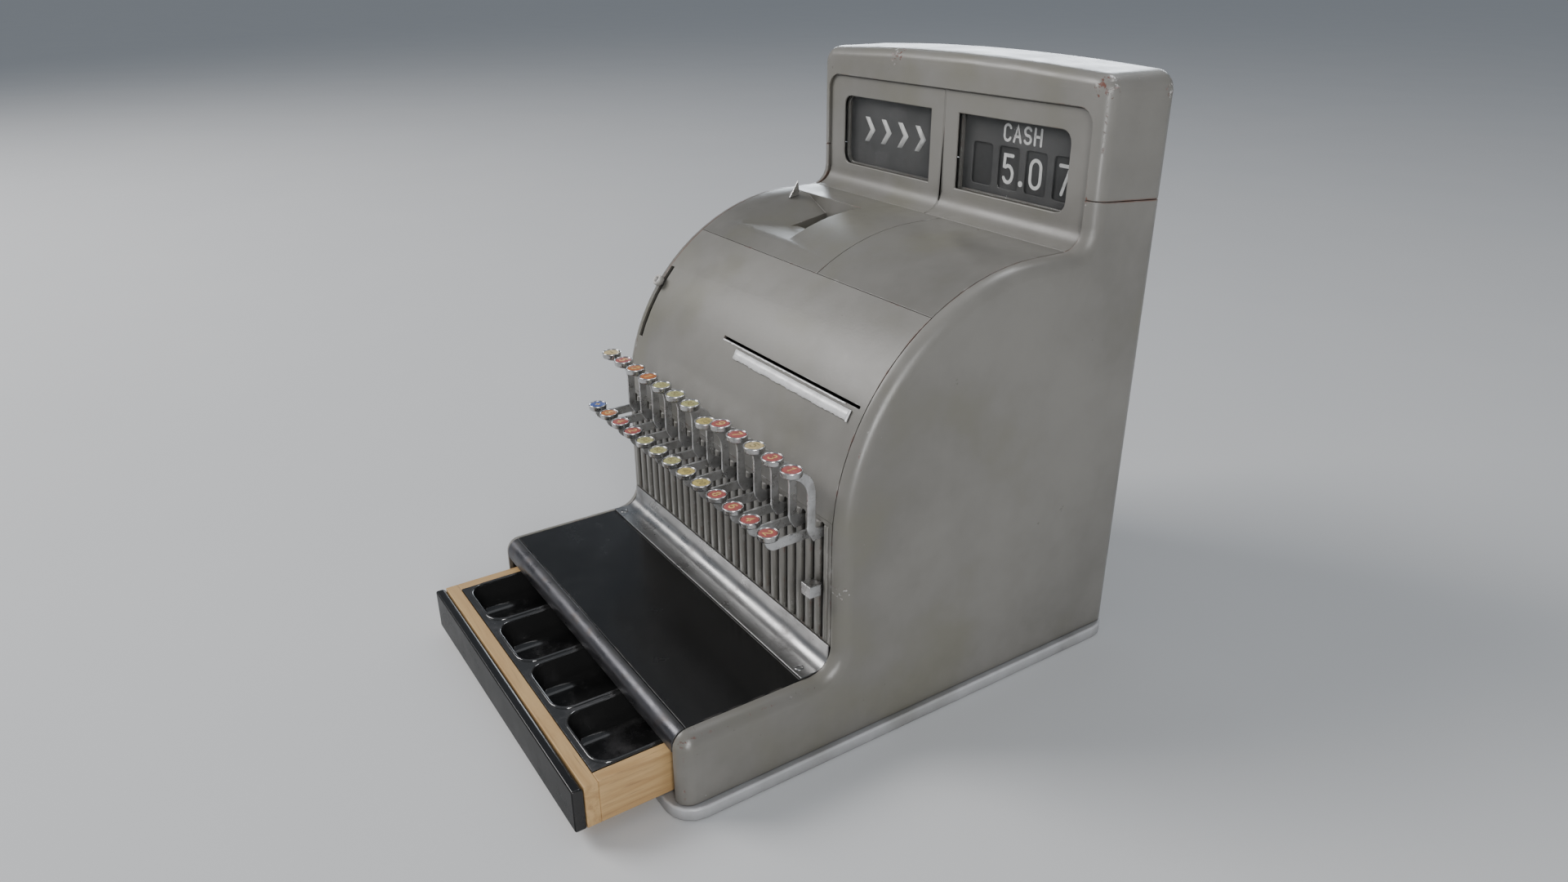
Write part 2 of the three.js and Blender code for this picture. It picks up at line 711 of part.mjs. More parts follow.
function indicatorFlag(index) {
  const x = flagX(index);
  const plate = box([x - 14.5, x + 14.5], FLAG_Y, [411, 459]);
  const stem = box([x - 4, x + 4], FLAG_Y, [330, 412]);
  return joined(plate, stem);
}

function flagGuide() {
  const bar = box([16, 160], [PLATE_Y - 1, PLATE_Y + 7], [340, 348]);
  const slots = [0, 1, 2, 3].map((i) =>
    box([flagX(i) - 4.5, flagX(i) + 4.5], [FLAG_Y[0] - 0.4, FLAG_Y[1] + 0.4], [330, 360]),
  );
  return without(bar, ...slots);
}

// ---- Assembly -----------------------------------------------------------
const rightShell = sideShell();
addPart('base_pan', basePan(), RAIL_PAINT);
addPart('side_shell_right', rightShell, GREY_PAINT);
addPart('side_shell_left', mirrored(rightShell), GREY_PAINT);
addPart('rear_panel', rearPanel(), GREY_PAINT);
addPart('front_panel', frontPanel(), GREY_PAINT);
addPart('slotted_panel', slottedPanel(), GREY_PAINT);
addPart('top_cover_left', topCoverLeft(), GREY_PAINT);
addPart('top_cover_right', coverSkin([LID_SEAM_X + GAP, PANEL_X]), GREY_PAINT);
addPart('display_housing', displayHousing(), GREY_PAINT);
addPart('window_bezel', windowBezel(), GREY_PAINT);

const pane = box([14, 154], [GLASS_Y, GLASS_Y + 2], [407, 480]);
addPart('window_glass_right', pane, GLASS);
addPart('window_glass_left', mirrored(pane), GLASS);
addPart('arrow_plate', box([-156, -14], [PLATE_Y, PLATE_Y + PLATE_T], PLATE_Z), DARK_PLATE);
addPart('indicator_mask', indicatorMask(), DARK_PLATE);
for (let i = 0; i < 4; i += 1) {
  addPart(`indicator_flag_${i + 1}`, indicatorFlag(i), DARK_PLATE);
}
addPart('flag_guide', flagGuide(), CAST);

addPart('shelf_plate', box([-PANEL_X, PANEL_X], [-219.6, -92], [SHELF_Z - 3, SHELF_Z]), BLACK_GLOSS);
addPart('shelf_nosing', shelfNosing(), WORN_STEEL);
addPart('cove_strip', coveStrip(), BRUSHED);

addPart('drawer_front', drawerFront(), BLACK_GLOSS);
addPart('drawer_box', drawerBox(), WOOD);
addPart('drawer_tray', drawerTray(), BLACK_GLOSS);

for (let i = 0; i < KEY_COUNT / 2; i += 1) {
  const number = String(i + 1).padStart(2, '0');
  const drop = i === SHORT_UPPER_KEY - 1 ? SHORT_KEY_DROP : 0;
  addPart(`key_upper_${number}`, upperKey(slotX(2 * i), drop), CHROME);
  addPart(`key_lower_${number}`, lowerKey(slotX(2 * i + 1)), CHROME);
}

addPart('slip_table', slipTable(), BRUSHED);
addPart('receipt_cutter', receiptCutter(), CHROME);
addPart('selector_lever', selectorLever(), CHROME);
addPart('release_lever', releaseLever(), CHROME);
addPart('key_shaft', rod('x', [-166.5, 166.5], KEY_PIVOT, KEY_SHAFT_R), CHROME);
addPart('mechanism_frame', mechanismFrame(), CAST);
addPart('drawer_latch', drawerLatch(), WORN_STEEL);
addPart('bell', bell(), BRASS);
addPart('receipt_roll', receiptRoll(), PAPER);

export default register;
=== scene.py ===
"""Press-down-key cash register: the looks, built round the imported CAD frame. Metres, +Z up."""

import math
import random

import bmesh
import bpy
from mathutils import Matrix, Vector


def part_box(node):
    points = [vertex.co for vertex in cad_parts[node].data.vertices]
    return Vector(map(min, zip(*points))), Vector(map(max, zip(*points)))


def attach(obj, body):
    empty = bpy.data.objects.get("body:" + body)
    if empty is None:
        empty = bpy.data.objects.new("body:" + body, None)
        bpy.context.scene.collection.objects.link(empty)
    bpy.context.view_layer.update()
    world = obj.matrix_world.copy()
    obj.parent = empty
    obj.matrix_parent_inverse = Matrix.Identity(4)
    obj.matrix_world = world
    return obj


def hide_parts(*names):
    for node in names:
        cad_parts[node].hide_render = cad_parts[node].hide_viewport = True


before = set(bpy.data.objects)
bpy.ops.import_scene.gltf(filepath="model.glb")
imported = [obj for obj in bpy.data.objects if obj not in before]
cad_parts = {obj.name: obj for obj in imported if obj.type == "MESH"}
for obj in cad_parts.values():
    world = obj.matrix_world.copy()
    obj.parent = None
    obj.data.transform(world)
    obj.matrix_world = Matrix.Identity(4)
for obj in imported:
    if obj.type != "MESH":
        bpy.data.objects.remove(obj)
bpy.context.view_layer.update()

MM = 0.001
random.seed(26)

# Camera in metres and degrees, placed round the object as the photographer stood.
CAMERA_AT = Vector((0.7422, -0.5061, 0.6000))
CAMERA_AZIMUTH = 56.59
CAMERA_PITCH = 24.446
CAMERA_ROLL = 0.22
CAMERA_LENS = 24.34
FLOOR_HALF = 30.0

# Sizes that the frame doesn't give, in millimetres from here on.
# Keys and the slots their levers come out of.
CAP_R = 9.0
CAP_H = 5.5
LABEL_R = 7.5
LEVER_T = 2.2
KEY_PITCH = 12.856
KEY_COUNT = 26
SLOT_W = 5.2
SLOT_Z = (99.0, 206.0)
RIB_RISE = 1.9
END_RIB_HALF = 2.6
END_RIB_INSET = 6.5

# Drawer and its tray.
BOARD_T = 11.6
CUP_FLOOR_Z = 21.0
CUP_ROWS = ((-281.0, -172.0), (-164.0, 72.0))
CUPS_IN_ROW = 4
CUP_PITCH = 75.6
CUP_HALF_W = 33.5
CUP_CORNER_R = 14.0
CUP_FILLET_R = 9.0
CUP_LIP_R = 1.6
CUP_LIP_OUT = 1.5

# Display: bezel, windows and what shows in them.
BEZEL_Y = 157.0
BEZEL_HALF_W = 172.2
BEZEL_TOP_Z = 495.0
BEZEL_FOOT_Z = 404.0
BEZEL_CORNER_R = 15.0
BEZEL_EDGE_R = 1.9
BEZEL_HALF_GAP = 0.45
COVE_R = 18.0
TOP_Z = 387.0
WINDOW_X = (18.3, 150.0)
WINDOW_Z = (410.5, 476.0)
WINDOW_CORNER_R = 10.0
LINER_STEPS = (
    (1.6, 162.3), (0.0, 162.3), (0.0, 163.4), (-0.9, 163.7),
    (-0.9, 165.0), (0.0, 165.3), (0.0, 166.7), (1.6, 166.7),
)
ARROW_X = -127.6
ARROW_Z = 433.5
ARROW_PITCH = 25.6
WORD_AT = (66.5, 458.3)
POINT_AT = (87.7, 424.2)
FLAG_FIGURE_Z = 422.6
FIGURE_RISE = 0.15
GLYPH_W = 0.6

# Curved front: its centre in Y and Z, its radius, and what stands on it.
ARC_CENTRE = (105.0, 195.0)
ARC_R = 192.0
KNOB_DEG = 37.2
SHIELD_DEG = (13, 49)
SHIELD_HALF_W = 3.9
SLIP_TABLE_Z = 288.0
SLIP_SLOT_Z = 296.0
SLIP_END_X = 159.2

# Seams that rust, beside the covers and under the display housing.
COVER_SEAM_X = 172.4
COVER_SEAM_Z = (300.0, 401.0)
DISPLAY_SEAM_Z = 426.0
DISPLAY_SEAM_Y = 154.0
DISPLAY_SEAM_SLOPE = 0.0732
# How far the painted shade in hollows reaches, in millimetres.
HOLLOW_SHADE_REACH = 35.0

RIGHT = Vector((1, 0, 0))
BACK = Vector((0, 1, 0))
UP = Vector((0, 0, 1))


# ---- Shader building ----
class Shader:
    """A Principled material and short calls for the nodes that feed it."""

    def __init__(self, name, **sockets):
        self.material = bpy.data.materials.new(name)
        self.material.use_nodes = True
        self.tree = self.material.node_tree
        self.bsdf = self.tree.nodes["Principled BSDF"]
        self.place = self.node("TexCoord", {}).outputs["Object"]
        self.set(self.bsdf, sockets)

    def set(self, node, inputs):
        """Links or fills a node's inputs, named by number or by words joined with _."""
        for name, value in inputs.items():
            key = name if isinstance(name, int) else name.replace("_", " ")
            socket = node.inputs[key]
            if isinstance(value, bpy.types.NodeSocket):
                self.tree.links.new(value, socket)
            else:
                socket.default_value = value
        return node

    def node(self, kind, inputs, **settings):
        """A new node, named without its ShaderNode prefix."""
        node = self.tree.nodes.new("ShaderNode" + kind)
        for name, value in settings.items():
            setattr(node, name, value)
        return self.set(node, inputs)

    def math(self, operation, a, b=0.0):
        return self.node("Math", {0: a, 1: b}, operation=operation).outputs[0]

    def times(self, a, b):
        return self.math("MULTIPLY", a, b)

    def noise(self, scale, detail=4.0, roughness=0.55, stretch=None, distortion=0.0):
        """Cloudy noise; a small number in `stretch` draws it out along that axis."""
        place = self.place
        if stretch is not None:
            place = self.node("Mapping", {"Vector": place, "Scale": stretch}).outputs[0]
        inputs = dict(Vector=place, Scale=scale, Detail=detail, Roughness=roughness, Distortion=distortion)
        return self.node("TexNoise", inputs).outputs[0]

    def cells(self, scale):
        """Distance to the nearest of many scattered points."""
        return self.node("TexVoronoi", {"Vector": self.place, "Scale": scale}).outputs["Distance"]

    def steps(self, value, low, high, to_low=0.0, to_high=1.0):
        """A smooth rise of `value` between low and high, as to_low to to_high."""
        inputs = dict(Value=value, From_Min=low, From_Max=high, To_Min=to_low, To_Max=to_high)
        return self.node("MapRange", inputs, interpolation_type="SMOOTHSTEP").outputs[0]

    def mix(self, share, a, b):
        """Colour a, giving way to colour b as `share` rises from 0 to 1."""
        return self.node("MixRGB", {"Fac": share, "Color1": a, "Color2": b}).outputs[0]

    def part(self, index):
        """X, Y or Z of the point, by index."""
        return self.node("SeparateXYZ", {0: self.place}).outputs[index]

    def facing(self):
        return self.node("NewGeometry", {}).outputs["Normal"]

    def normal_part(self, index):
        """X, Y or Z of the way the surface faces, by index."""
        return self.node("SeparateXYZ", {0: self.facing()}).outputs[index]

    def edges(self, radius):
        """1 on edges and corners sharper than their surroundings, 0 on open faces."""
        soft = self.node("Bevel", {"Radius": radius}, samples=4).outputs[0]
        inputs = {0: soft, 1: self.facing()}
        dot = self.node("VectorMath", inputs, operation="DOT_PRODUCT").outputs["Value"]
        return self.math("SUBTRACT", 1.0, dot)

    def rubbed(self, radius, low, high, patches):
        """Wear along the edges, where `patches` is 1."""
        return self.times(self.steps(self.edges(radius), low, high), patches)

    def hollows(self, distance):
        """1 in recesses that little open sky reaches, 0 on open faces."""
        open_share = self.node("AmbientOcclusion", {"Distance": distance}, samples=6).outputs["AO"]
        return self.math("SUBTRACT", 1.0, open_share)

    def bump(self, height, distance, strength=1.0, normal=None):
        inputs = {"Height": height, "Distance": distance, "Strength": strength}
        if normal is not None:
            inputs["Normal"] = normal
        return self.node("Bump", inputs).outputs[0]

    def finish(self, color, rough, normal=None, **sockets):
        """Links the surface up and hands its material over."""
        sockets.update(Base_Color=color, Roughness=rough)
        if normal is not None:
            sockets["Normal"] = normal
        self.set(self.bsdf, sockets)
        return self.material


def grey(value):
    return (value, value, value, 1.0)


def enamel(name, light, dark, rub, spots=(), seams=False):
    """Satin enamel: cloudy tone, orange peel, hair scratches, chips and rust where edges rub, and painted
    shade in hollows.
    """
    s = Shader(name, Metallic=0.0)
    worn = enamel_wear(s, rub, spots, seams)
    redness = s.steps(s.noise(48.0, 3.0), 0.44, 0.54)
    bare = s.mix(redness, (0.55, 0.54, 0.52, 1), (0.17, 0.065, 0.045, 1))
    color = s.mix(worn, enamel_tone(s, light, dark), bare)
    if seams:
        color = s.mix(seam_rust(s), color, (0.17, 0.085, 0.06, 1))
    color = specked(s, color)
    # Painted shade: the colour darkens where little open sky reaches, in hollows, creases and seams.
    painted_hollow_shade = s.steps(s.hollows(HOLLOW_SHADE_REACH * MM), 0.12, 0.62, 0.0, 0.66)
    color = s.mix(painted_hollow_shade, color, (0.030, 0.027, 0.022, 1))
    rough = s.steps(s.noise(22.0, 6.0, 0.65), 0.25, 0.75, 0.27, 0.41)
    rough = s.math("ADD", rough, s.times(worn, 0.25))
    peel = s.bump(s.noise(420.0, 2.0), 0.00012, 0.5)
    dents = s.bump(s.noise(15.0, 2.0), 0.0010, 0.16, peel)
    chips = s.bump(s.times(worn, -1.0), 0.00025, 0.8, dents)
    return s.finish(color, rough, chips)


def enamel_tone(s, light, dark):
    """Sound paint: cloudy, a little yellowed, darker towards the floor, with hair scratches."""
    cloud = s.noise(4.5, 5.0, 0.6)
    tone = s.mix(s.steps(cloud, 0.35, 0.68), light, dark)
    warm = s.mix(s.steps(s.noise(9.0, 3.0), 0.48, 0.72, 0.0, 0.40), tone, (0.225, 0.215, 0.155, 1))
    # Darker towards the floor, varied a little by noise.
    low = s.steps(s.part(2), 0.10, 0.0, 0.0, 0.35)
    darker_low = s.mix(s.times(low, s.noise(60.0, 6.0)), warm, (0.07, 0.062, 0.05, 1))
    hair = s.steps(s.noise(50.0, 8.0, 0.7, (1.0, 5.0, 0.35), 0.6), 0.70, 0.76)
    return s.mix(s.times(hair, 0.32), darker_low, (0.52, 0.51, 0.49, 1))


def enamel_wear(s, rub, spots, seams):
    """1 where the paint is gone: along edges, at the knocked spots and on the crests."""
    patches = s.steps(s.noise(42.0, 8.0, 0.74), 0.545 - 0.06 * rub, 0.66 - 0.06 * rub)
    worn = s.rubbed(0.0022, 0.03, 0.22, patches)
    for centre, radius in spots:
        worn = s.math("MAXIMUM", worn, chipped_spot(s, centre, radius))
    if seams:
        worn = s.math("MAXIMUM", worn, crest_chips(s))
    return worn


def specked(s, color):
    """Small dark specks, gathered in patches."""
    speck = s.steps(s.cells(75.0), 0.045, 0.02)
    speck_mask = s.times(speck, s.steps(s.noise(7.0, 2.0), 0.56, 0.66))
    return s.mix(s.times(speck_mask, 0.75), color, (0.10, 0.06, 0.045, 1))


def chipped_spot(s, centre, radius):
    """A patch of ragged chips round a point that gets knocked."""
    inputs = {0: s.place, 1: tuple(c * MM for c in centre)}
    away = s.node("VectorMath", inputs, operation="DISTANCE").outputs["Value"]
    near = s.steps(away, radius * MM, radius * MM * 0.2)
    flakes = s.noise(330.0, 6.0, 0.68)
    return s.steps(s.math("ADD", s.times(near, 0.195), flakes), 0.72, 0.76)


def crest_chips(s):
    """Sparse chips in a line along the crest of the housing's rounded edges."""
    across, along, up = (s.math("ABSOLUTE", s.normal_part(i)) for i in range(3))
    crest = s.steps(s.math("MINIMUM", across, s.math("MAXIMUM", along, up)), 0.60, 0.70)
    patches = s.steps(s.noise(13.0, 3.0), 0.50, 0.60)
    flakes = s.steps(s.noise(210.0, 6.0, 0.7), 0.545, 0.60)
    return s.times(s.times(crest, patches), s.times(flakes, 0.8))


def seam_rust(s):
    """Red-brown lines where the side shells meet the covers and the display housing."""
    seam_x = COVER_SEAM_X * MM
    low, high = (z * MM for z in COVER_SEAM_Z)
    aside = s.math("ABSOLUTE", s.part(0))
    off_side = s.math("ABSOLUTE", s.math("SUBTRACT", aside, seam_x))
    heights = s.times(s.steps(s.part(2), low, low + 0.03), s.steps(s.part(2), high, high - 0.005))
    side_line = s.times(s.steps(off_side, 0.0016, 0.0003), heights)
    slope = s.times(s.math("SUBTRACT", s.part(1), DISPLAY_SEAM_Y * MM), DISPLAY_SEAM_SLOPE)
    off_top = s.math("ABSOLUTE", s.math("SUBTRACT", s.math("ADD", s.part(2), slope), DISPLAY_SEAM_Z * MM))
    outside = s.steps(aside, seam_x + 0.0001, seam_x + 0.0011)
    top_line = s.times(s.steps(off_top, 0.0018, 0.0004), outside)
    line = s.math("MAXIMUM", side_line, top_line)
    return s.times(line, s.steps(s.noise(24.0, 4.0), 0.38, 0.56, 0.15, 0.85))


def black_enamel(name, tone, rub_radius, rough, scratch, face_specular):
    """Gloss black with dust, fine scratches and brown rubbed edges."""
    s = Shader(name, Metallic=0.0)
    dust = s.steps(s.noise(16.0, 8.0, 0.72), 0.42, 0.80)
    base = s.mix(s.times(dust, 0.5), grey(tone), (tone * 4, tone * 3.8, tone * 4, 1))
    dots = s.steps(s.cells(260.0), 0.10, 0.05)
    dots = s.times(dots, s.steps(s.noise(24.0, 3.0), 0.58, 0.68))
    dotted = s.mix(s.times(dots, 0.6), base, grey(0.16))
    hair = s.steps(s.noise(42.0, 9.0, 0.75, (1.0, 4.5, 1.0), 1.2), 0.66, 0.72)
    hair_2 = s.steps(s.noise(38.0, 9.0, 0.75, (4.2, 1.0, 1.0), 1.4), 0.68, 0.74)
    scratches = s.math("MAXIMUM", hair, hair_2)
    color = s.mix(s.times(scratches, scratch), dotted, grey(0.22))
    edge = s.rubbed(rub_radius, 0.02, 0.16, s.steps(s.noise(70.0, 6.0), 0.46, 0.60))
    color = s.mix(s.times(edge, 0.75), color, (0.17, 0.15, 0.14, 1))
    gloss = s.steps(s.noise(20.0, 8.0, 0.7), 0.30, 0.75, *rough)
    gloss = s.math("ADD", gloss, s.times(scratches, 0.12))
    normal = s.bump(scratches, 0.00006, 0.5, s.bump(s.noise(300.0, 2.0), 0.00006, 0.35))
    specular = s.steps(s.normal_part(1), -0.95, -0.35, face_specular, 0.6)
    return s.finish(color, gloss, normal, Specular_IOR_Level=specular)


def nosing_metal():
    """Black enamel rubbed through to dull steel along the rounded front edge."""
    s = Shader("nosing_worn")
    forward = s.times(s.normal_part(1), -1.0)
    facing = s.math("ADD", forward, s.times(s.normal_part(2), 0.55))
    crest = s.steps(s.math("ADD", facing, s.times(s.noise(46.0, 6.0), 0.34)), 0.86, 1.20)
    streak = s.noise(85.0, 5.0, 0.6, (0.05, 1.0, 1.0))
    steel = s.mix(streak, (0.05, 0.05, 0.056, 1), (0.12, 0.12, 0.13, 1))
    stained = s.mix(s.steps(s.noise(60.0, 7.0, 0.7), 0.52, 0.7, 0.0, 0.8), steel, (0.085, 0.072, 0.066, 1))
    low = s.steps(s.part(2), 0.0640, 0.0585)
    stained = s.mix(s.times(low, s.noise(120.0, 6.0)), stained, (0.045, 0.035, 0.03, 1))
    color = s.mix(crest, grey(0.03), stained)
    rough = s.steps(s.noise(55.0, 6.0), 0.3, 0.7, 0.26, 0.46)
    pits = s.bump(s.noise(240.0, 5.0, 0.7), 0.00016, 0.5)
    metal = s.steps(crest, 0.2, 0.8, 0.0, 0.85)
    return s.finish(color, rough, pits, Metallic=metal)


def brushed(name, tone):
    """Brushed aluminium, its fine lines drawn along X, smudged and scratched."""
    s = Shader(name, Metallic=1.0)
    lines = s.noise(900.0, 3.0, 0.6, (0.03, 1.0, 1.0))
    wide = s.noise(30.0, 5.0, 0.6)
    base = s.mix(lines, grey(tone * 0.78), grey(tone * 1.12))
    smudge = s.times(s.steps(s.noise(26.0, 7.0, 0.7), 0.50, 0.72), 0.6)
    color = s.mix(smudge, base, (0.15, 0.14, 0.135, 1))
    edge = s.rubbed(0.0012, 0.02, 0.2, s.steps(s.noise(90.0, 5.0), 0.5, 0.62))
    color = s.mix(s.times(edge, 0.3), color, (0.09, 0.075, 0.06, 1))
    rough = s.math("ADD", s.steps(wide, 0.3, 0.7, 0.24, 0.40), s.times(smudge, 0.22))
    normal = s.bump(lines, 0.00004, 0.6)
    return s.finish(color, rough, normal)


def plated(name, tone, rough, grime, metallic=1.0):
    """Nickel or chrome plate dulled by handling, darker in patches."""
    s = Shader(name, Metallic=metallic)
    patch = s.steps(s.noise(75.0, 6.0, 0.65), 0.42, 0.70)
    color = s.mix(s.times(patch, grime), grey(tone), (tone * 0.45, tone * 0.43, tone * 0.41, 1))
    tarnish = s.steps(s.noise(210.0, 4.0, 0.7), 0.56, 0.70, 0.0, 0.6 * grime)
    color = s.mix(tarnish, color, (0.10, 0.085, 0.07, 1))
    gloss = s.steps(s.noise(110.0, 5.0), 0.3, 0.7, *rough)
    normal = s.bump(s.noise(520.0, 3.0), 0.00003, 0.5)
    return s.finish(color, gloss, normal)


def wood(name, along):
    """Pale varnished hardwood, its grain drawn out along one axis (0 for X, 1 for Y)."""
    s = Shader(name)
    fine = [1.0, 1.0, 1.0]
    fine[along] = 0.045
    broad = [1.0, 1.0, 1.6]
    broad[along] = 0.10
    rings = s.noise(62.0, 5.0, 0.6, tuple(broad), 1.1)
    base = s.mix(s.steps(rings, 0.32, 0.68), (0.64, 0.42, 0.195, 1), (0.47, 0.28, 0.118, 1))
    pores = s.steps(s.noise(620.0, 4.0, 0.6, tuple(fine)), 0.56, 0.74)
    color = s.mix(s.times(pores, 0.45), base, (0.20, 0.11, 0.05, 1))
    cloud = s.steps(s.noise(13.0, 3.0), 0.4, 0.7, 0.0, 0.25)
    color = s.mix(cloud, color, (0.66, 0.46, 0.23, 1))
    edge = s.rubbed(0.0012, 0.02, 0.2, s.steps(s.noise(80.0, 5.0), 0.44, 0.6))
    color = s.mix(s.times(edge, 0.6), color, (0.16, 0.09, 0.05, 1))
    rough = s.steps(rings, 0.3, 0.7, 0.42, 0.56)
    normal = s.bump(pores, 0.00012, 0.5, s.bump(rings, 0.0002, 0.25))
    return s.finish(color, rough, normal)


def tray_plastic():
    """Glossy black moulding, dusty and scratched on the faces that look up."""
    s = Shader("tray_moulding", Specular_IOR_Level=1.0)
    dust = s.steps(s.noise(22.0, 8.0, 0.72), 0.46, 0.78, 0.0, 0.55)
    up = s.steps(s.normal_part(2), 0.5, 0.95)
    color = s.mix(s.times(dust, up), grey(0.020), (0.170, 0.162, 0.164, 1))
    rings = s.noise(34.0, 9.0, 0.8, (1.0, 2.6, 1.0), 2.2)
    hair = s.times(s.steps(rings, 0.62, 0.68), up)
    color = s.mix(s.times(hair, 0.12), color, grey(0.18))
    gloss = s.steps(s.noise(30.0, 6.0), 0.3, 0.7, 0.09, 0.18)
    rough = s.math("ADD", gloss, s.times(hair, 0.16))
    normal = s.bump(s.noise(150.0, 3.0), 0.00008, 0.35)
    return s.finish(color, rough, normal)


def matt_plate(name, tone):
    """Matt dark paint, slightly mottled."""
    s = Shader(name)
    mottled = s.steps(s.noise(40.0, 6.0), 0.3, 0.7)
    color = s.mix(mottled, grey(tone * 0.82), (tone * 1.1, tone * 1.08, tone * 1.06, 1))
    rough = s.steps(s.noise(90.0, 4.0), 0.3, 0.7, 0.5, 0.7)
    normal = s.bump(s.noise(600.0, 2.0), 0.00005, 0.4)
    return s.finish(color, rough, normal)


def printed(name, color, wear_tone=0.35):
    """Printed or enamelled colour on a small disc or figure, a little rubbed."""
    s = Shader(name)
    dark = tuple(c * 0.62 for c in color[:3]) + (1.0,)
    tone = s.mix(s.steps(s.noise(190.0, 6.0, 0.7), 0.40, 0.70, 0.0, 0.75), color, dark)
    rub = s.steps(s.noise(330.0, 5.0, 0.7), 0.62, 0.70, 0.0, 0.5)
    tone = s.mix(rub, tone, grey(wear_tone))
    rough = s.steps(s.noise(260.0, 4.0), 0.3, 0.7, 0.28, 0.5)
    normal = s.bump(s.noise(800.0, 3.0), 0.00003, 0.4)
    return s.finish(tone, rough, normal)


def pane_glass():
    """A clear pane: nearly open, with faint smears and a sharp reflection."""
    s = Shader("pane_glass")
    smear = s.steps(s.noise(20.0, 6.0), 0.4, 0.7, 0.03, 0.06)
    rough = s.steps(s.noise(14.0), 0.3, 0.7, 0.04, 0.10)
    return s.finish((0.30, 0.31, 0.31, 1), rough, Alpha=smear)


def cast_metal():
    """Dull dark casting with a coarse skin."""
    s = Shader("cast_frame", Metallic=0.7)
    color = s.mix(s.noise(90.0, 6.0), grey(0.09), grey(0.20))
    rough = s.steps(s.noise(60.0), 0.3, 0.7, 0.45, 0.65)
    normal = s.bump(s.noise(380.0, 4.0), 0.0002, 0.5)
    return s.finish(color, rough, normal)


def bell_brass():
    """Brass gone brown in clouds."""
    s = Shader("bell_brass", Metallic=1.0)
    color = s.mix(s.noise(60.0, 5.0), (0.62, 0.43, 0.16, 1), (0.36, 0.24, 0.09, 1))
    return s.finish(color, s.steps(s.noise(80.0), 0.3, 0.7, 0.2, 0.4))


def roll_paper():
    """Yellowed paper."""
    s = Shader("roll_paper")
    color = s.mix(s.noise(120.0, 5.0), (0.80, 0.78, 0.72, 1), (0.68, 0.66, 0.60, 1))
    return s.finish(color, 0.85, s.bump(s.noise(700.0), 0.00005, 0.4))


# Where the housing gets knocked: the point and the radius of the chips round it.
KNOCKED = (
    ((178, 160, 512), 19), ((184, 226, 505), 15), ((174, 155, 426), 9), ((182, -226, 70), 10),
    ((177, -80, 150), 16), ((179, -66, 190), 12), ((-70, 156, 521), 22), ((165, -30, 345), 8),
    ((179, -212, 20), 12), ((150, 100, 387), 10),
)
GREY_LIGHT, GREY_DARK = (0.250, 0.240, 0.220, 1), (0.180, 0.172, 0.156, 1)
PAINT = enamel("housing_enamel", GREY_LIGHT, GREY_DARK, 0.7, KNOCKED, seams=True)
# The covers take a darker copy of the housing enamel: painted shade for the covers, which face up.
SHADED_COVER_PAINT = enamel("cover_enamel_shaded", (0.205, 0.197, 0.180, 1), (0.125, 0.119, 0.106, 1), 0.7)
RAIL_PAINT = enamel("rail_enamel", (0.76, 0.765, 0.785, 1), (0.61, 0.615, 0.635, 1), 1.7)
BLACK = black_enamel("shelf_enamel", 0.0035, 0.0016, (0.15, 0.30), 0.10, 0.5)
DRAWER_BLACK = black_enamel("drawer_enamel", 0.0045, 0.0022, (0.20, 0.30), 0.015, 0.05)
WHITE_KNOB = enamel("knob_white", (0.74, 0.72, 0.70, 1), (0.62, 0.60, 0.58, 1), 0.5)
NOSING = nosing_metal()
BRUSHED = brushed("brushed_strip", 0.37)
WORN_BRIGHT = plated("slip_metal", 0.90, (0.30, 0.46), 0.3, 0.2)
CHROME = plated("handled_chrome", 0.56, (0.20, 0.32), 0.6)
LEVER_METAL = plated("lever_nickel", 0.58, (0.25, 0.40), 0.6, 0.92)
WOOD_X = wood("wood_across", 0)
WOOD_Y = wood("wood_along", 1)
TRAY = tray_plastic()
PLATE = matt_plate("indicator_plate", 0.060)
FLAG = matt_plate("flag_plate", 0.026)
FIGURE = printed("figure_paint", (0.78, 0.78, 0.76, 1), 0.5)
GLASS = pane_glass()
CAST = cast_metal()
BRASS = bell_brass()
PAPER = roll_paper()
SHADOW = matt_plate("gap_shadow", 0.012)

LABEL_COLOURS = {
    "red": (0.46, 0.110, 0.100, 1),
    "orange": (0.55, 0.17, 0.045, 1),
    "cream": (0.66, 0.52, 0.26, 1),
    "yellow": (0.62, 0.50, 0.17, 1),
    "green": (0.52, 0.50, 0.22, 1),
    "blue": (0.075, 0.13, 0.42, 1),
}
LABELS = {name: printed("label_" + name, color) for name, color in LABEL_COLOURS.items()}
LABEL_INK = {
    "light": printed("ink_light", (0.86, 0.62, 0.22, 1), 0.6),
    "dark": printed("ink_dark", (0.33, 0.27, 0.12, 1), 0.2),
}


# ---- Mesh building ----
def put_in_scene(name, data):
    obj = bpy.data.objects.new(name, data)
    bpy.context.scene.collection.objects.link(obj)
    return obj


def add_piece(mesh, name, body, material, smooth=True):
    """Makes a finished mesh a piece that rides on a body."""
    mesh.materials.clear()
    mesh.materials.append(material)
    if smooth:
        mesh.shade_smooth()
    obj = put_in_scene(name, mesh)
    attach(obj, body)
    return obj


def new_piece(name, body, material, verts, faces, smooth=True):
    """A piece from points in millimetres and the faces between them."""
    mesh = bpy.data.meshes.new(name)
    mesh.from_pydata([tuple(Vector(v) * MM) for v in verts], [], faces)
    mesh.validate()
    turn_faces_out(mesh)
    return add_piece(mesh, name, body, material, smooth)


def turn_faces_out(mesh):
    bm = bmesh.new()
    bm.from_mesh(mesh)
    bmesh.ops.recalc_face_normals(bm, faces=bm.faces)
    bm.to_mesh(mesh)
    bm.free()


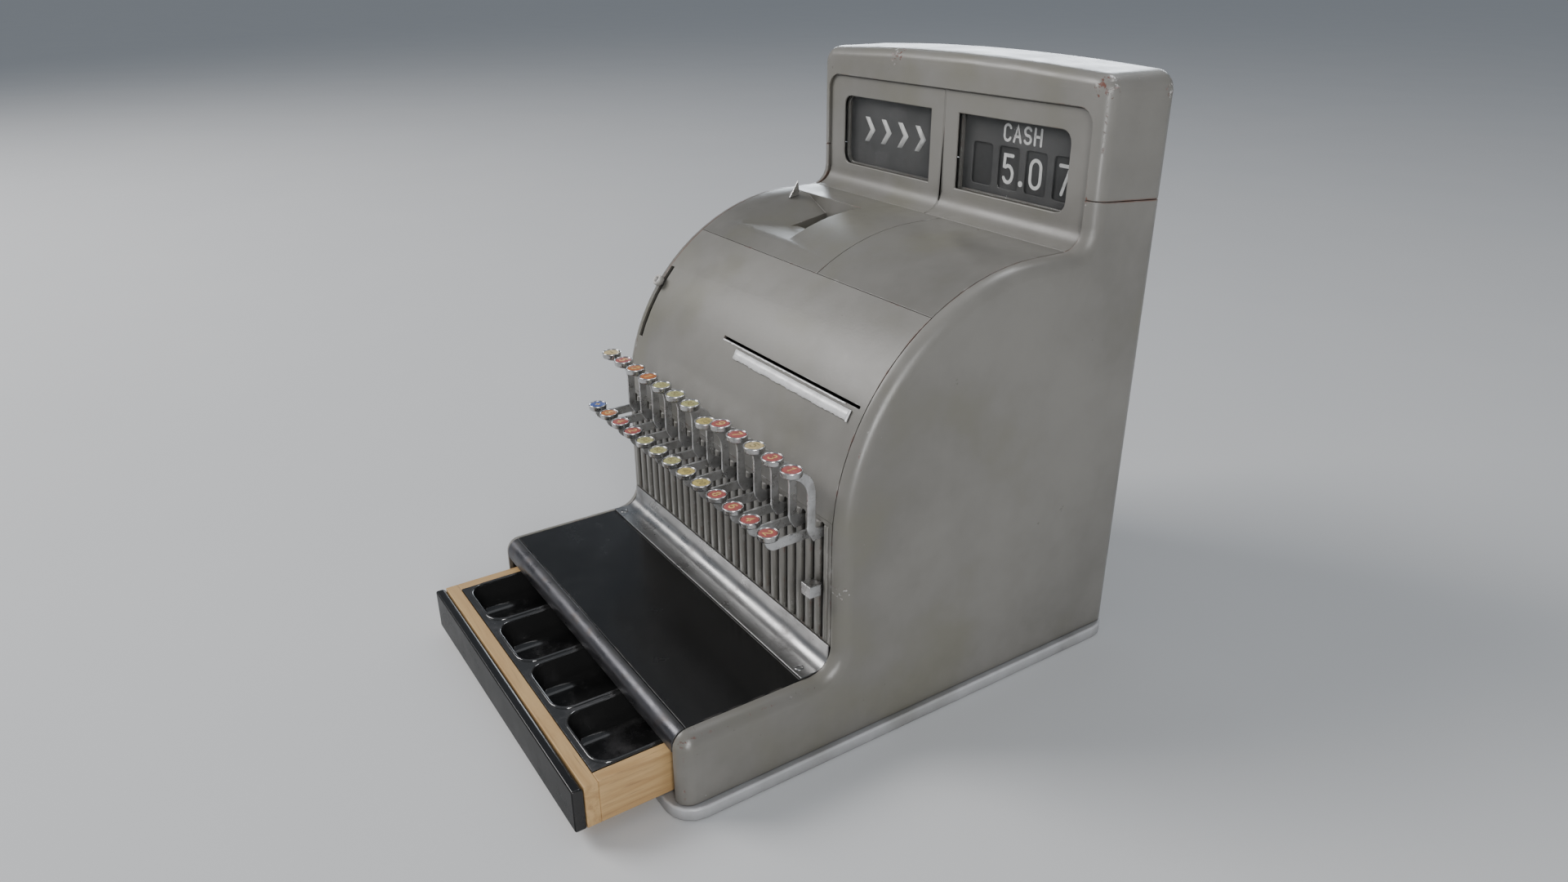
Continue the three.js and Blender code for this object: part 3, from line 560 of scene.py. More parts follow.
def soften(obj, width, segments=3, angle=35.0):
    """Rounds the sharp edges and lets the broad faces keep their flat shading."""
    bevel = obj.modifiers.new("edge_round", "BEVEL")
    bevel.width = width * MM
    bevel.segments = segments
    bevel.limit_method = "ANGLE"
    bevel.angle_limit = math.radians(angle)
    normals = obj.modifiers.new("face_weighted", "WEIGHTED_NORMAL")
    normals.weight = 60
    return obj


def dress(node, material, width=0.5, segments=3, angle=35.0):
    """Gives a CAD node its finish and rounded edges, with its own mesh left as it is."""
    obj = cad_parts[node]
    mesh = obj.data
    for layer in ("custom_normal", "sharp_edge", "sharp_face"):
        if layer in mesh.attributes:
            mesh.attributes.remove(mesh.attributes[layer])
    mesh.shade_smooth()
    mesh.materials.clear()
    mesh.materials.append(material)
    weld = obj.modifiers.new("weld", "WELD")
    weld.merge_threshold = 0.00002
    flat = obj.modifiers.new("flat_faces", "DECIMATE")
    flat.decimate_type = "DISSOLVE"
    flat.angle_limit = math.radians(0.6)
    if width > 0:
        soften(obj, width, segments, angle)
    return obj


def copy_of(node):
    """A bmesh copy of a CAD node, welded and with its flat faces made whole, in millimetres."""
    bm = bmesh.new()
    bm.from_mesh(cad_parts[node].data)
    bmesh.ops.scale(bm, vec=(1 / MM, 1 / MM, 1 / MM), verts=bm.verts)
    bmesh.ops.remove_doubles(bm, verts=bm.verts, dist=0.02)
    bmesh.ops.dissolve_limit(bm, angle_limit=math.radians(0.6), verts=bm.verts, edges=bm.edges)
    return bm


def piece_from(bm, name, body, material):
    """A piece from a bmesh in millimetres, which is freed."""
    bmesh.ops.scale(bm, vec=(MM, MM, MM), verts=bm.verts)
    bmesh.ops.recalc_face_normals(bm, faces=bm.faces)
    mesh = bpy.data.meshes.new(name)
    bm.to_mesh(mesh)
    bm.free()
    return add_piece(mesh, name, body, material)


def oval(cx, cy, rx, ry, start, end, steps=10):
    """Points along part of an ellipse, between two angles in degrees."""
    angles = [math.radians(start + (end - start) * i / steps) for i in range(steps + 1)]
    return [(cx + rx * math.cos(a), cy + ry * math.sin(a)) for a in angles]


def arc(cx, cy, r, start, end, steps):
    """Points along part of a circle."""
    return oval(cx, cy, r, r, start, end, steps)


def ring_faces(rings, sides, wrap=False):
    """Faces between rings of points; with `wrap`, also from the last ring to the first."""
    faces = []
    for row in range(rings if wrap else rings - 1):
        here, ahead = row * sides, (row + 1) % rings * sides
        for k in range(sides):
            n = (k + 1) % sides
            faces.append([here + k, here + n, ahead + n, ahead + k])
    return faces


def plate(name, body, material, outline, place, thickness):
    """A flat outline given a thickness. `place(a, b, t)` puts outline point a, b at depth t."""
    count = len(outline)
    verts = [place(a, b, 0.0) for a, b in outline] + [place(a, b, thickness) for a, b in outline]
    faces = [list(range(count)), list(range(2 * count - 1, count - 1, -1))]
    faces += ring_faces(2, count)
    return new_piece(name, body, material, verts, faces)


def lathe(name, body, material, profile, centre, axis, sides):
    """Turned piece: `profile` holds (radius, height) pairs from axis to axis."""
    axis = Vector(axis).normalized()
    side = axis.orthogonal().normalized()
    other = axis.cross(side)
    verts = []
    for r, h in profile:
        for k in range(sides):
            a = 2 * math.pi * k / sides
            verts.append(Vector(centre) + axis * h + (side * math.cos(a) + other * math.sin(a)) * r)
    faces = ring_faces(len(profile), sides)
    faces.append(list(range(sides - 1, -1, -1)))
    last = (len(profile) - 1) * sides
    faces.append(list(range(last, last + sides)))
    return new_piece(name, body, material, verts, faces)


def bead(name, body, material, path, radius, closed=True):
    """A round bead swept along a path of points, in millimetres."""
    curve = bpy.data.curves.new(name, "CURVE")
    curve.dimensions = "3D"
    curve.bevel_depth = radius * MM
    curve.bevel_resolution = 3
    curve.use_fill_caps = not closed
    spline = curve.splines.new("POLY")
    spline.points.add(len(path) - 1)
    for point, at in zip(spline.points, path):
        point.co = (*(Vector(at) * MM), 1.0)
    spline.use_cyclic_u = closed
    holder = put_in_scene(name + "_curve", curve)
    bpy.context.view_layer.update()
    evaluated = holder.evaluated_get(bpy.context.evaluated_depsgraph_get())
    mesh = bpy.data.meshes.new_from_object(evaluated)
    bpy.data.objects.remove(holder)
    mesh.name = name
    return add_piece(mesh, name, body, material)


# ---- Figures ----
# The strokes of each sign, in a box GLYPH_W wide and 1 high.
MID = GLYPH_W / 2
SIX = oval(MID, 0.30, 0.29, 0.30, 180, -180) + [(0.01, 0.42)]
NINE = oval(MID, 0.70, 0.29, 0.30, 0, 360) + [(0.59, 0.58)]
ZERO = oval(MID, 0.72, 0.3, 0.28, 0, 180) + oval(MID, 0.28, 0.3, 0.28, 180, 360)
GLYPHS = {
    "0": [ZERO + ZERO[:1]],
    "1": [[(0.08, 0.80), (0.34, 1.0), (0.34, 0.0)]],
    "2": [oval(MID, 0.72, 0.28, 0.28, 165, -25) + [(0.02, 0.0), (GLYPH_W, 0.0)]],
    "3": [oval(MID, 0.75, 0.27, 0.25, 150, -90), oval(MID, 0.26, 0.29, 0.26, 90, -150)],
    "4": [[(0.44, 0.0), (0.44, 1.0), (0.0, 0.30), (GLYPH_W, 0.30)]],
    "5": [[(0.55, 1.0), (0.07, 1.0), (0.05, 0.58)] + oval(MID, 0.31, 0.29, 0.31, 125, -150)],
    "6": [SIX + oval(0.36, 0.62, 0.35, 0.38, 180, 80, 6)],
    "7": [[(0.02, 1.0), (GLYPH_W, 1.0), (0.20, 0.0)]],
    "8": [oval(MID, 0.76, 0.24, 0.24, -90, 270), oval(MID, 0.26, 0.29, 0.26, 90, 450)],
    "9": [NINE + oval(0.24, 0.38, 0.35, 0.38, 0, -100, 6)],
    "+": [[(MID, 0.2), (MID, 0.8)], [(0.0, 0.5), (GLYPH_W, 0.5)]],
    "-": [[(0.0, 0.5), (GLYPH_W, 0.5)]],
    ".": [[(MID, 0.0)]],
    "C": [oval(MID, 0.72, 0.28, 0.28, 20, 180) + oval(MID, 0.28, 0.28, 0.28, 180, 340)],
    "A": [[(0.0, 0.0), (MID, 1.0), (GLYPH_W, 0.0)], [(0.11, 0.33), (0.49, 0.33)]],
    "S": [oval(MID, 0.75, 0.27, 0.25, 25, 250) + oval(MID, 0.26, 0.28, 0.25, 70, -155)],
    "H": [[(0.03, 0.0), (0.03, 1.0)], [(0.57, 0.0), (0.57, 1.0)], [(0.03, 0.52), (0.57, 0.52)]],
}


def write(name, body, material, text, corner, across, up, height, width, stroke, gap):
    """Raised strokes spelling `text`, from its lower left corner, `height` tall."""
    across, up = Vector(across).normalized(), Vector(up).normalized()
    normal = across.cross(up)
    verts, faces = [], []
    for index, letter in enumerate(text):
        start = Vector(corner) + across * index * (width + gap)
        for line in GLYPHS[letter]:
            points = [start + across * (a / GLYPH_W * width) + up * (b * height) for a, b in line]
            if len(points) > 1:
                add_ribbon(verts, faces, points, normal, stroke, FIGURE_RISE)
            else:
                add_disc(verts, faces, points[0], normal, stroke / 2, FIGURE_RISE)
    return new_piece(name, body, material, verts, faces, smooth=False)


def add_ribbon(verts, faces, points, normal, width, rise):
    """A flat stroke with mitred bends and round ends, standing `rise` proud."""
    half = width / 2
    closed = (points[0] - points[-1]).length < 1e-6
    left, right = [], []
    for i, point in enumerate(points):
        side = normal.cross(bend_direction(points, i, closed)) * half
        left.append(point + side)
        right.append(point - side)
    count, base = len(points), len(verts)
    rows = left + right
    verts.extend(v + normal * rise for v in rows)
    verts.extend(rows)
    for i in range(count - 1):
        a, b, c, d = base + i, base + i + 1, base + count + i + 1, base + count + i
        low = 2 * count
        faces.append([a, b, c, d])
        faces.append([low + d, low + c, low + b, low + a])
        faces.append([a, low + a, low + b, b])
        faces.append([c, low + c, low + d, d])
    if not closed:
        add_disc(verts, faces, points[0], normal, half, rise - 0.02)
        add_disc(verts, faces, points[-1], normal, half, rise - 0.04)


def bend_direction(points, i, closed):
    """Direction of a stroke at one of its points, longer in a bend to keep its width."""
    before = points[i] - points[i - 1] if i > 0 else points[1] - points[0]
    after = points[i + 1] - points[i] if i < len(points) - 1 else before
    if closed and i in (0, len(points) - 1):
        before, after = points[-1] - points[-2], points[1] - points[0]
    direction = (before.normalized() + after.normalized()).normalized()
    return direction / max(0.62, direction.dot(after.normalized()))


def add_disc(verts, faces, centre, normal, radius, rise):
    """A full stop, or the round end of a stroke, standing `rise` proud."""
    sides = 12
    side = normal.orthogonal().normalized()
    other = normal.cross(side)
    base = len(verts)
    for height in (rise, 0.0):
        for k in range(sides):
            a = 2 * math.pi * k / sides
            verts.append(centre + (side * math.cos(a) + other * math.sin(a)) * radius + normal * height)
    faces.append([base + k for k in range(sides)])
    faces.append([base + sides + k for k in reversed(range(sides))])
    for k in range(sides):
        n = (k + 1) % sides
        faces.append([base + k, base + sides + k, base + sides + n, base + n])


# ---- Housing ----
def dress_housing():
    """The painted housing, and the ribs between the key slots."""
    dress("base_pan", RAIL_PAINT, 2.2, 3, 50.0)
    for node in ("side_shell_left", "side_shell_right"):
        dress(node, PAINT, 0.7, 2, 50.0)
    dress("rear_panel", PAINT, 0.8)
    dress("front_panel", PAINT, 0.8)
    dress("slotted_panel", PAINT, 0.8, 2, 40.0)
    panel_ribs()
    dress("top_cover_left", SHADED_COVER_PAINT, 0.7)
    dress("top_cover_right", SHADED_COVER_PAINT, 0.7)
    dress("display_housing", PAINT, 0.9, 3, 50.0)


def panel_ribs():
    """Half-round ribs pressed into the panel between the key slots."""
    low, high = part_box("slotted_panel")
    face, z0, z1 = low.y / MM, SLOT_Z[0] + 0.5, SLOT_Z[1] - 0.5
    half = (KEY_PITCH - SLOT_W) / 2 - 0.15
    verts, faces = [], []
    rib_bar(verts, faces, high.x / MM - END_RIB_INSET, face, END_RIB_HALF, z0, z1)
    for i in range(KEY_COUNT - 1):
        rib_bar(verts, faces, slot_x(i) - KEY_PITCH / 2, face, half, z0, z1)
    rib_bar(verts, faces, low.x / MM + END_RIB_INSET, face, END_RIB_HALF, z0, z1)
    new_piece("panel_ribs", "housing", PAINT, verts, faces)


def rib_bar(verts, faces, x, face, half, z0, z1):
    """One rib: a half-ellipse drawn upwards, its ends rounded down to the panel."""
    around = 10
    rows = [(z0, 0.05), (z0 + 0.5, 0.6), (z0 + 1.8, 1.0), (z1 - 1.8, 1.0), (z1 - 0.5, 0.6), (z1, 0.05)]
    base = len(verts)
    for z, share in rows:
        for k in range(around + 1):
            a = math.pi * k / around
            side = half * (0.75 + 0.25 * share)
            out = (RIB_RISE + 0.3) * share * math.sin(a)
            verts.append((x + side * math.cos(a), face + 0.3 - out, z))
    width = around + 1
    faces += [[base + k for k in face] for face in ring_faces(len(rows), width)]
    faces.append([base + k for k in range(width)])
    last = base + (len(rows) - 1) * width
    faces.append([last + width - 1 - k for k in range(width)])


def slot_x(index):
    """Middle of a key slot, counted from the right."""
    return ((KEY_COUNT - 1) / 2 - index) * KEY_PITCH


def split_bezel():
    """The bezel is made as two halves that meet in a groove at the middle."""
    for side, name in ((-1, "bezel_left"), (1, "bezel_right")):
        bm = copy_of("window_bezel")
        at, away = Vector((side * BEZEL_HALF_GAP, 0, 0)), (-side, 0, 0)
        parts = bm.verts[:] + bm.edges[:] + bm.faces[:]
        bmesh.ops.bisect_plane(bm, geom=parts, plane_co=at, plane_no=away, clear_outer=True)
        rim = [e for e in bm.edges if e.is_boundary]
        bmesh.ops.holes_fill(bm, edges=rim)
        half = piece_from(bm, name, "housing", PAINT)
        soften(half, BEZEL_EDGE_R, 4, 40.0)
        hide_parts("window_bezel")


def bezel_seals():
    """Paint-filled seams round the bezel and down the joint between its halves."""
    x, top, r = BEZEL_HALF_W + 0.2, BEZEL_TOP_Z + 0.2, BEZEL_CORNER_R
    corners = arc(x - r, top - r, r, 0, 90, 8) + arc(r - x, top - r, r, 90, 180, 8)
    rim = [(x, BEZEL_FOOT_Z)] + corners + [(-x, BEZEL_FOOT_Z)]
    path = [(a, BEZEL_Y + 1.35, b) for a, b in rim]
    bead("bezel_seal", "housing", PAINT, path, 1.25, False)
    cove = arc(BEZEL_Y - COVE_R, TOP_Z + COVE_R, COVE_R + 1.5, -2, -86, 10)
    joint = [(0, BEZEL_Y + 1.5, BEZEL_TOP_Z - 0.5)] + [(0, a, b) for a, b in cove]
    bead("bezel_joint", "housing", PAINT, joint, 1.5, False)


def window_liners():
    """Stepped frames that line each window from the glass back to the plates."""
    for side, name in ((1, "window_liner_right"), (-1, "window_liner_left")):
        verts = []
        for margin, y in LINER_STEPS:
            verts += [(side * a, y, b) for a, b in window_outline(margin)]
        steps = len(LINER_STEPS)
        faces = ring_faces(steps, len(verts) // steps, wrap=True)
        liner = new_piece(name, "housing", PAINT, verts, faces, False)
        soften(liner, 0.25, 2)


def window_outline(margin):
    """The right window's outline, grown by `margin`."""
    x0, x1 = WINDOW_X[0] - margin, WINDOW_X[1] + margin
    z0, z1 = WINDOW_Z[0] - margin, WINDOW_Z[1] + margin
    r = WINDOW_CORNER_R + margin
    rounded = arc(x1 - r, z0 + r, r, -90, 0, 6) + arc(x1 - r, z1 - r, r, 0, 90, 6)
    return [(x0, z0)] + rounded + [(x0, z1)]


# ---- Shelf ----
def dress_shelf():
    """The black shelf, its worn nosing, and the bright strip with its two screws."""
    dress("shelf_plate", BLACK, 0.6)
    dress("shelf_nosing", NOSING, 0.8)
    dress("cove_strip", BRUSHED, 0.45)
    low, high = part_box("cove_strip")
    for name, x in (("cove_screw_left", low.x + 0.010), ("cove_screw_right", high.x - 0.012)):
        screw(name, (x, low.y + 0.0065, low.z + 0.0015), UP, 3.9)


def screw(name, at, axis, radius):
    """A raised countersunk head with a straight slot."""
    centre = Vector(at) / MM
    wall = [(0.01, -0.4), (radius, -0.4), (radius, 0.1)]
    dome = [(radius * 0.86, 0.45), (radius * 0.5, 0.75), (0.01, 0.85)]
    lathe(name, "housing", BRUSHED, wall + dome, centre, axis, 28)
    axis = Vector(axis)
    side = axis.orthogonal().normalized()
    across = (side + axis.cross(side) * 0.6).normalized()
    other = axis.cross(across)
    half_l, half_w, top = radius * 0.9, 0.32, 0.87
    corners = [(-half_l, -half_w), (half_l, -half_w), (half_l, half_w), (-half_l, half_w)]

    def in_head(a, b, t):
        return centre + across * a + other * b + axis * (top - t)

    plate(name + "_slot", "housing", SHADOW, corners, in_head, 0.5)


# ---- Drawer ----
def board(name, x, y, z, material):
    """A wooden board, given by its ends along X, Y and Z."""
    outline = [(x[0], y[0]), (x[1], y[0]), (x[1], y[1]), (x[0], y[1])]

    def raised(a, b, t):
        return a, b, z[0] + t

    made = plate(name, "drawer", material, outline, raised, z[1] - z[0])
    return soften(made, 0.8, 3)


def build_drawer():
    """The drawer's boards in place of the CAD box, its black front and its tray."""
    low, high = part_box("drawer_box")
    low, high = low / MM, high / MM
    t = BOARD_T
    z = (low.z, high.z)
    front = board("drawer_board_front", (low.x, high.x), (low.y, low.y + t), z, WOOD_X)
    board("drawer_board_rear", (low.x, high.x), (high.y - t, high.y), z, WOOD_X)
    board("drawer_board_left", (low.x + 0.1, low.x + t), (low.y + t, high.y - t), z, WOOD_Y)
    board("drawer_board_right", (high.x - t, high.x - 0.1), (low.y + t, high.y - t), z, WOOD_Y)
    board("drawer_bottom", (low.x + t, high.x - t), (low.y + t, high.y - t), (z[0] + 0.2, z[0] + 4), WOOD_Y)
    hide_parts("drawer_box")
    dress("drawer_front", DRAWER_BLACK, 1.6, 4, 50.0)
    build_tray()


def build_tray():
    """The moulded tray: cups with rounded floors, soft rims and a raised bead round each."""
    bm = copy_of("drawer_tray")
    top = max(v.co.z for v in bm.verts)
    round_edges(bm, edges_at(bm, CUP_FLOOR_Z), CUP_FILLET_R, 5)
    round_edges(bm, [e for e in edges_at(bm, top) if inside_tray(e)], CUP_LIP_R, 3)
    tray = piece_from(bm, "cash_tray", "drawer", TRAY)
    soften(tray, 0.8, 2, 60.0)
    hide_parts("drawer_tray")
    for row, (y0, y1) in enumerate(CUP_ROWS):
        for i in range(CUPS_IN_ROW):
            x, y = (i - (CUPS_IN_ROW - 1) / 2) * CUP_PITCH, (y0 + y1) / 2
            half_w, half_d = CUP_HALF_W + CUP_LIP_OUT, (y1 - y0) / 2 + CUP_LIP_OUT
            outline = rounded_rect(x, y, half_w, half_d, CUP_CORNER_R + CUP_LIP_OUT)
            path = [(a, b, top - 0.3) for a, b in outline]
            bead(f"cup_lip_{row + 1}_{i + 1}", "drawer", TRAY, path, CUP_LIP_R)


def edges_at(bm, height):
    """The level edges at one height."""
    return [e for e in bm.edges if all(abs(v.co.z - height) < 0.1 for v in e.verts)]


def round_edges(bm, edges, radius, segments):
    """Rounds some edges of a bmesh off."""
    bmesh.ops.bevel(bm, geom=edges, offset=radius, segments=segments, affect="EDGES", profile=0.5)


def rounded_rect(cx, cy, half_w, half_d, r):
    """Outline of a rectangle with rounded corners."""
    corners = ((1, 1, 0), (-1, 1, 90), (-1, -1, 180), (1, -1, 270))
    points = []
    for sx, sy, start in corners:
        points += arc(cx + sx * (half_w - r), cy + sy * (half_d - r), r, start, start + 90, 6)
    return points


def inside_tray(edge):
    """False for an edge on the tray's outer walls."""
    low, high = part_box("drawer_tray")
    ends = [v.co * MM for v in edge.verts]
    return all(low[i] + MM <= at[i] <= high[i] - MM for at in ends for i in (0, 1))


# ---- Keys ----
# Labels from the right to the left.
UPPER_COLOURS = "red red cream red red yellow green green green orange orange red cream".split()
LOWER_COLOURS = "red red red red yellow yellow green green green red red orange blue".split()
UPPER_TEXT = "1 3 5 7 9 10 30 50 70 1 3 5 -".split()
LOWER_TEXT = "2 4 6 8 20 40 60 80 90 2 4 6 +".split()

# Turned shapes, as radius and height over the top of the cap.
CAP_PROFILE = (
    (0.01, -CAP_H), (CAP_R - 1.6, -CAP_H), (CAP_R - 0.8, -CAP_H + 0.35), (CAP_R - 0.45, -CAP_H + 1.2),
    (CAP_R - 0.35, -2.0), (CAP_R - 0.1, -1.35), (CAP_R, -0.85), (CAP_R - 0.12, -0.35),
    (CAP_R - 0.5, 0.0), (CAP_R - 1.0, -0.05), (CAP_R - 1.3, -0.4), (CAP_R - 1.4, -0.95), (0.01, -0.95),
)
LABEL_PROFILE = (
    (0.01, -1.1), (LABEL_R, -1.1), (LABEL_R, -0.72),
    (LABEL_R * 0.85, -0.52), (LABEL_R * 0.5, -0.38), (0.01, -0.32),
)


def upper_outline(cap_y, cap_z):
    """Side view of an upper lever: a point in the slot, then a bow up to the cap."""
    under = cap_z - CAP_H + 0.6
    tail = [(54, 194), (-84, 201), (-91, 202.2), (-94.3, 204.5)]
    back = oval(cap_y + 7.5, under - 22, 14, 21, 0, 74, 9)
    boss = [(cap_y + 5.2, under), (cap_y - 5.0, under), (cap_y - 4.6, under - 2.4)]
    front = oval(cap_y - 1, under - 24, 15.5, 19.5, 76, 0, 9)
    point = [(-101.5, 203), (-100.4, 199), (-96, 192), (-92.5, 192.2), (-88, 193.5), (54, 186)]
    return tail + back + boss + front + point


def lower_outline(cap_y, cap_z):
    """Side view of a lower lever: straight out of its slot, rounded up under the cap."""
    under = cap_z - CAP_H + 0.6
    top = [(54, 194), (-86, 195.6), (cap_y + 9.5, 195.6), (cap_y + 6, 196.4), (cap_y + 4.6, under)]
    belly = [(cap_y - 3.6, under)] + oval(cap_y + 7, under - 1, 10.7, 11.6, 180, 264, 8)
    return top + belly + [(-112, 187.2), (-86, 187.6), (54, 186)]


def build_key(node, outline_at, colour, text):
    """A key's lever, its cap, and the cap's label and figure."""
    low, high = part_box(node)
    low, high = low / MM, high / MM
    x, y, z = top = (low.x + high.x) / 2, low.y + CAP_R, high.z
    build_lever(node, x, outline_at(y, z))
    lathe(f"{node}_cap", node, CHROME, CAP_PROFILE, top, UP, 36)
    lathe(f"{node}_label", node, LABELS[colour], LABEL_PROFILE, top, UP, 32)
    ink = LABEL_INK["light" if colour in ("red", "orange", "blue") else "dark"]
    height, stroke = (7.0, 1.15) if len(text) == 1 else (5.0, 0.85)
    width, gap = height * 0.62, 1.2
    total = len(text) * width + (len(text) - 1) * gap
    corner = (x - total / 2, y - height / 2, z - 0.42)
    write(f"{node}_figure", node, ink, text, corner, RIGHT, BACK, height, width, stroke, gap)


def build_lever(node, x, outline):
    """The flat lever of a key, centred on the key's X."""
    def upright(a, b, t):
        return x - LEVER_T / 2 + t, a, b

    lever = plate(f"{node}_lever", node, LEVER_METAL, outline, upright, LEVER_T)
    soften(lever, 0.45, 2, 40.0)
    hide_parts(node)


def build_keys():
    """Both rows of keys; number 01 is the rightmost."""
    for i in range(KEY_COUNT // 2):
        build_key(f"key_upper_{i + 1:02d}", upper_outline, UPPER_COLOURS[i], UPPER_TEXT[i])
        build_key(f"key_lower_{i + 1:02d}", lower_outline, LOWER_COLOURS[i], LOWER_TEXT[i])


# ---- Indicator ----
def build_indicator():
    """The glass, with the arrows and the amount behind it."""
    dress("window_glass_left", GLASS, 0)
    dress("window_glass_right", GLASS, 0)
    dress("arrow_plate", PLATE, 0.3)
    dress("indicator_mask", PLATE, 0.7, 3)
    low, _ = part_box("arrow_plate")
    face = low.y / MM
    for i in range(4):
        build_arrow(f"arrow_{i + 1}", ARROW_X + i * ARROW_PITCH, face)
    at = (WORD_AT[0], face, WORD_AT[1])
    write("word_over_windows", "housing", FIGURE, "CASH", at, RIGHT, UP, 13.0, 7.8, 2.2, 4.0)
    for i, text in enumerate(["", "5", "0", "7"]):
        node = f"indicator_flag_{i + 1}"
        dress(node, FLAG, 0.2)
        if text:
            low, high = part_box(node)
            centre = (low.x + high.x) / 2 / MM
            at = (centre - 7.6, low.y / MM, FLAG_FIGURE_Z)
            write(f"{node}_figure", node, FIGURE, text, at, RIGHT, UP, 23.0, 11.6, 3.0, 0)
    at = (POINT_AT[0], face, POINT_AT[1])
    write("decimal_point", "housing", FIGURE, ".", at, RIGHT, UP, 10, 4.0, 5.0, 0)


def build_arrow(name, x, face):
    """A chevron that points to the right."""
    outline = [(0, 23.4), (8.6, 11.7), (0, 0), (6.6, 0), (16, 11.7), (6.6, 23.4)]

    def on_plate(a, b, t):
        return x + a, face - t, ARROW_Z + b

    plate(name, "housing", FIGURE, outline, on_plate, 0.25)


# ---- Small fittings ----
def dress_fittings():
    """Small pieces, and those inside the body."""
    slip_metal()
    selector_knob()
    dress("receipt_cutter", CHROME, 0.3)
    dress("release_lever", CHROME, 1.1, 3)
    dress("key_shaft", LEVER_METAL, 0.3)
    dress("drawer_latch", LEVER_METAL, 0.3)
    dress("mechanism_frame", CAST, 0.4)
    dress("flag_guide", CAST, 0.4)
    dress("bell", BRASS, 0.3, 2, 50.0)
    dress("receipt_roll", PAPER, 0.3, 2, 50.0)


def skin_point(z_centre, radial, step):
    """Point on the curved front: `radial` proud of it and `step` up along it from height z_centre."""
    angle = math.asin((z_centre - ARC_CENTRE[1]) / ARC_R)
    y = ARC_CENTRE[0] - math.cos(angle) * (ARC_R + radial) + math.sin(angle) * step
    z = ARC_CENTRE[1] + math.sin(angle) * (ARC_R + radial) + math.cos(angle) * step
    return y, z


def ragged_strip(name, z_centre, x0, x1, low, high, ragged_low, ragged_high, proud):
    """A worn metal strip lying on the curved front, its edges eaten away unevenly."""
    steps = 60
    verts = []
    for i in range(steps + 1):
        x = x0 + (x1 - x0) * i / steps
        bottom = low + random.uniform(0, ragged_low)
        top = high - random.uniform(0, ragged_high)
        for radial, step in ((0.15, bottom), (proud, bottom + 0.25), (proud, top - 0.25), (0.15, top)):
            verts.append((x, *skin_point(z_centre, radial, step)))
    faces = ring_faces(steps + 1, 4)
    faces += [[0, 3, 2, 1], [steps * 4 + k for k in range(4)]]
    return new_piece(name, "housing", WORN_BRIGHT, verts, faces)


def slip_metal():
    """Bare metal under the slip slot and along its lower lip."""
    table = ragged_strip("slip_table_worn", SLIP_TABLE_Z, -6, 159, -4.7, 4.7, 0.9, 0.15, 1.3)
    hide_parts("slip_table")
    ragged_strip("slip_lip_worn", SLIP_SLOT_Z, -31, 150, -3.1, -1.35, 0.7, 0.2, 0.55)
    end = [(SLIP_END_X, *skin_point(SLIP_TABLE_Z, 1.3, step)) for step in (-4.7, 4.7)]
    bead("slip_table_end", "housing", WORN_BRIGHT, end, 0.9, False)


def selector_knob():
    """The selector's ring-shaped white knob and its dust shield."""
    dress("selector_lever", CHROME, 0.6, 3, 50.0)
    low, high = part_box("selector_lever")
    x = (low.x + high.x) / 2 / MM
    a = math.radians(KNOB_DEG)
    outward = Vector((0, -math.cos(a), math.sin(a)))
    centre = Vector((x, ARC_CENTRE[0], ARC_CENTRE[1])) + outward * (ARC_R + 7.0)
    ring = [
        (0.01, -0.8), (2.2, -0.8), (2.6, -0.3), (2.9, 0.9), (3.6, 1.5), (4.6, 1.5),
        (5.3, 0.9), (5.5, -0.2), (5.5, -3.6), (5.1, -4.2), (0.01, -4.2),
    ]
    lathe("selector_ring", "selector_lever", WHITE_KNOB, ring, centre, outward, 36)
    build_shield(x)


def build_shield(x):
    """The curved dust shield, centred on the selector's X."""
    foot, head = (180 - angle for angle in SHIELD_DEG)
    outline = arc(*ARC_CENTRE, ARC_R - 3.2, foot, head, 16) + arc(*ARC_CENTRE, ARC_R - 4.2, head, foot, 16)

    def upright(y, z, t):
        return x - SHIELD_HALF_W + t, y, z

    plate("selector_shield", "selector_lever", LEVER_METAL, outline, upright, 2 * SHIELD_HALF_W)


def rear_screws():
    """Six screws down the sides of the rear panel."""
    low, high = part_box("rear_panel")
    inset = 0.012
    for i, z in enumerate((low.z + inset, (low.z + high.z) / 2, high.z - inset)):
        for side, x in (("left", low.x + inset), ("right", high.x - inset)):
            screw(f"rear_screw_{side}_{i + 1}", (x, high.y + 0.0002, z), BACK, 3.6)


# ---- Stage ----
def make_camera():
    """A level camera facing +Y, turned by its azimuth, pitched down and rolled."""
    data = bpy.data.cameras.new("camera")
    data.lens = CAMERA_LENS
    data.sensor_width = 36.0
    data.clip_start = 0.01
    camera = put_in_scene("camera", data)
    matrix = Matrix.Translation(CAMERA_AT)
    for degrees, axis in ((CAMERA_AZIMUTH, "Z"), (90 - CAMERA_PITCH, "X"), (-CAMERA_ROLL, "Z")):
        matrix = matrix @ Matrix.Rotation(math.radians(degrees), 4, axis)
    camera.matrix_world = matrix
    bpy.context.scene.camera = camera


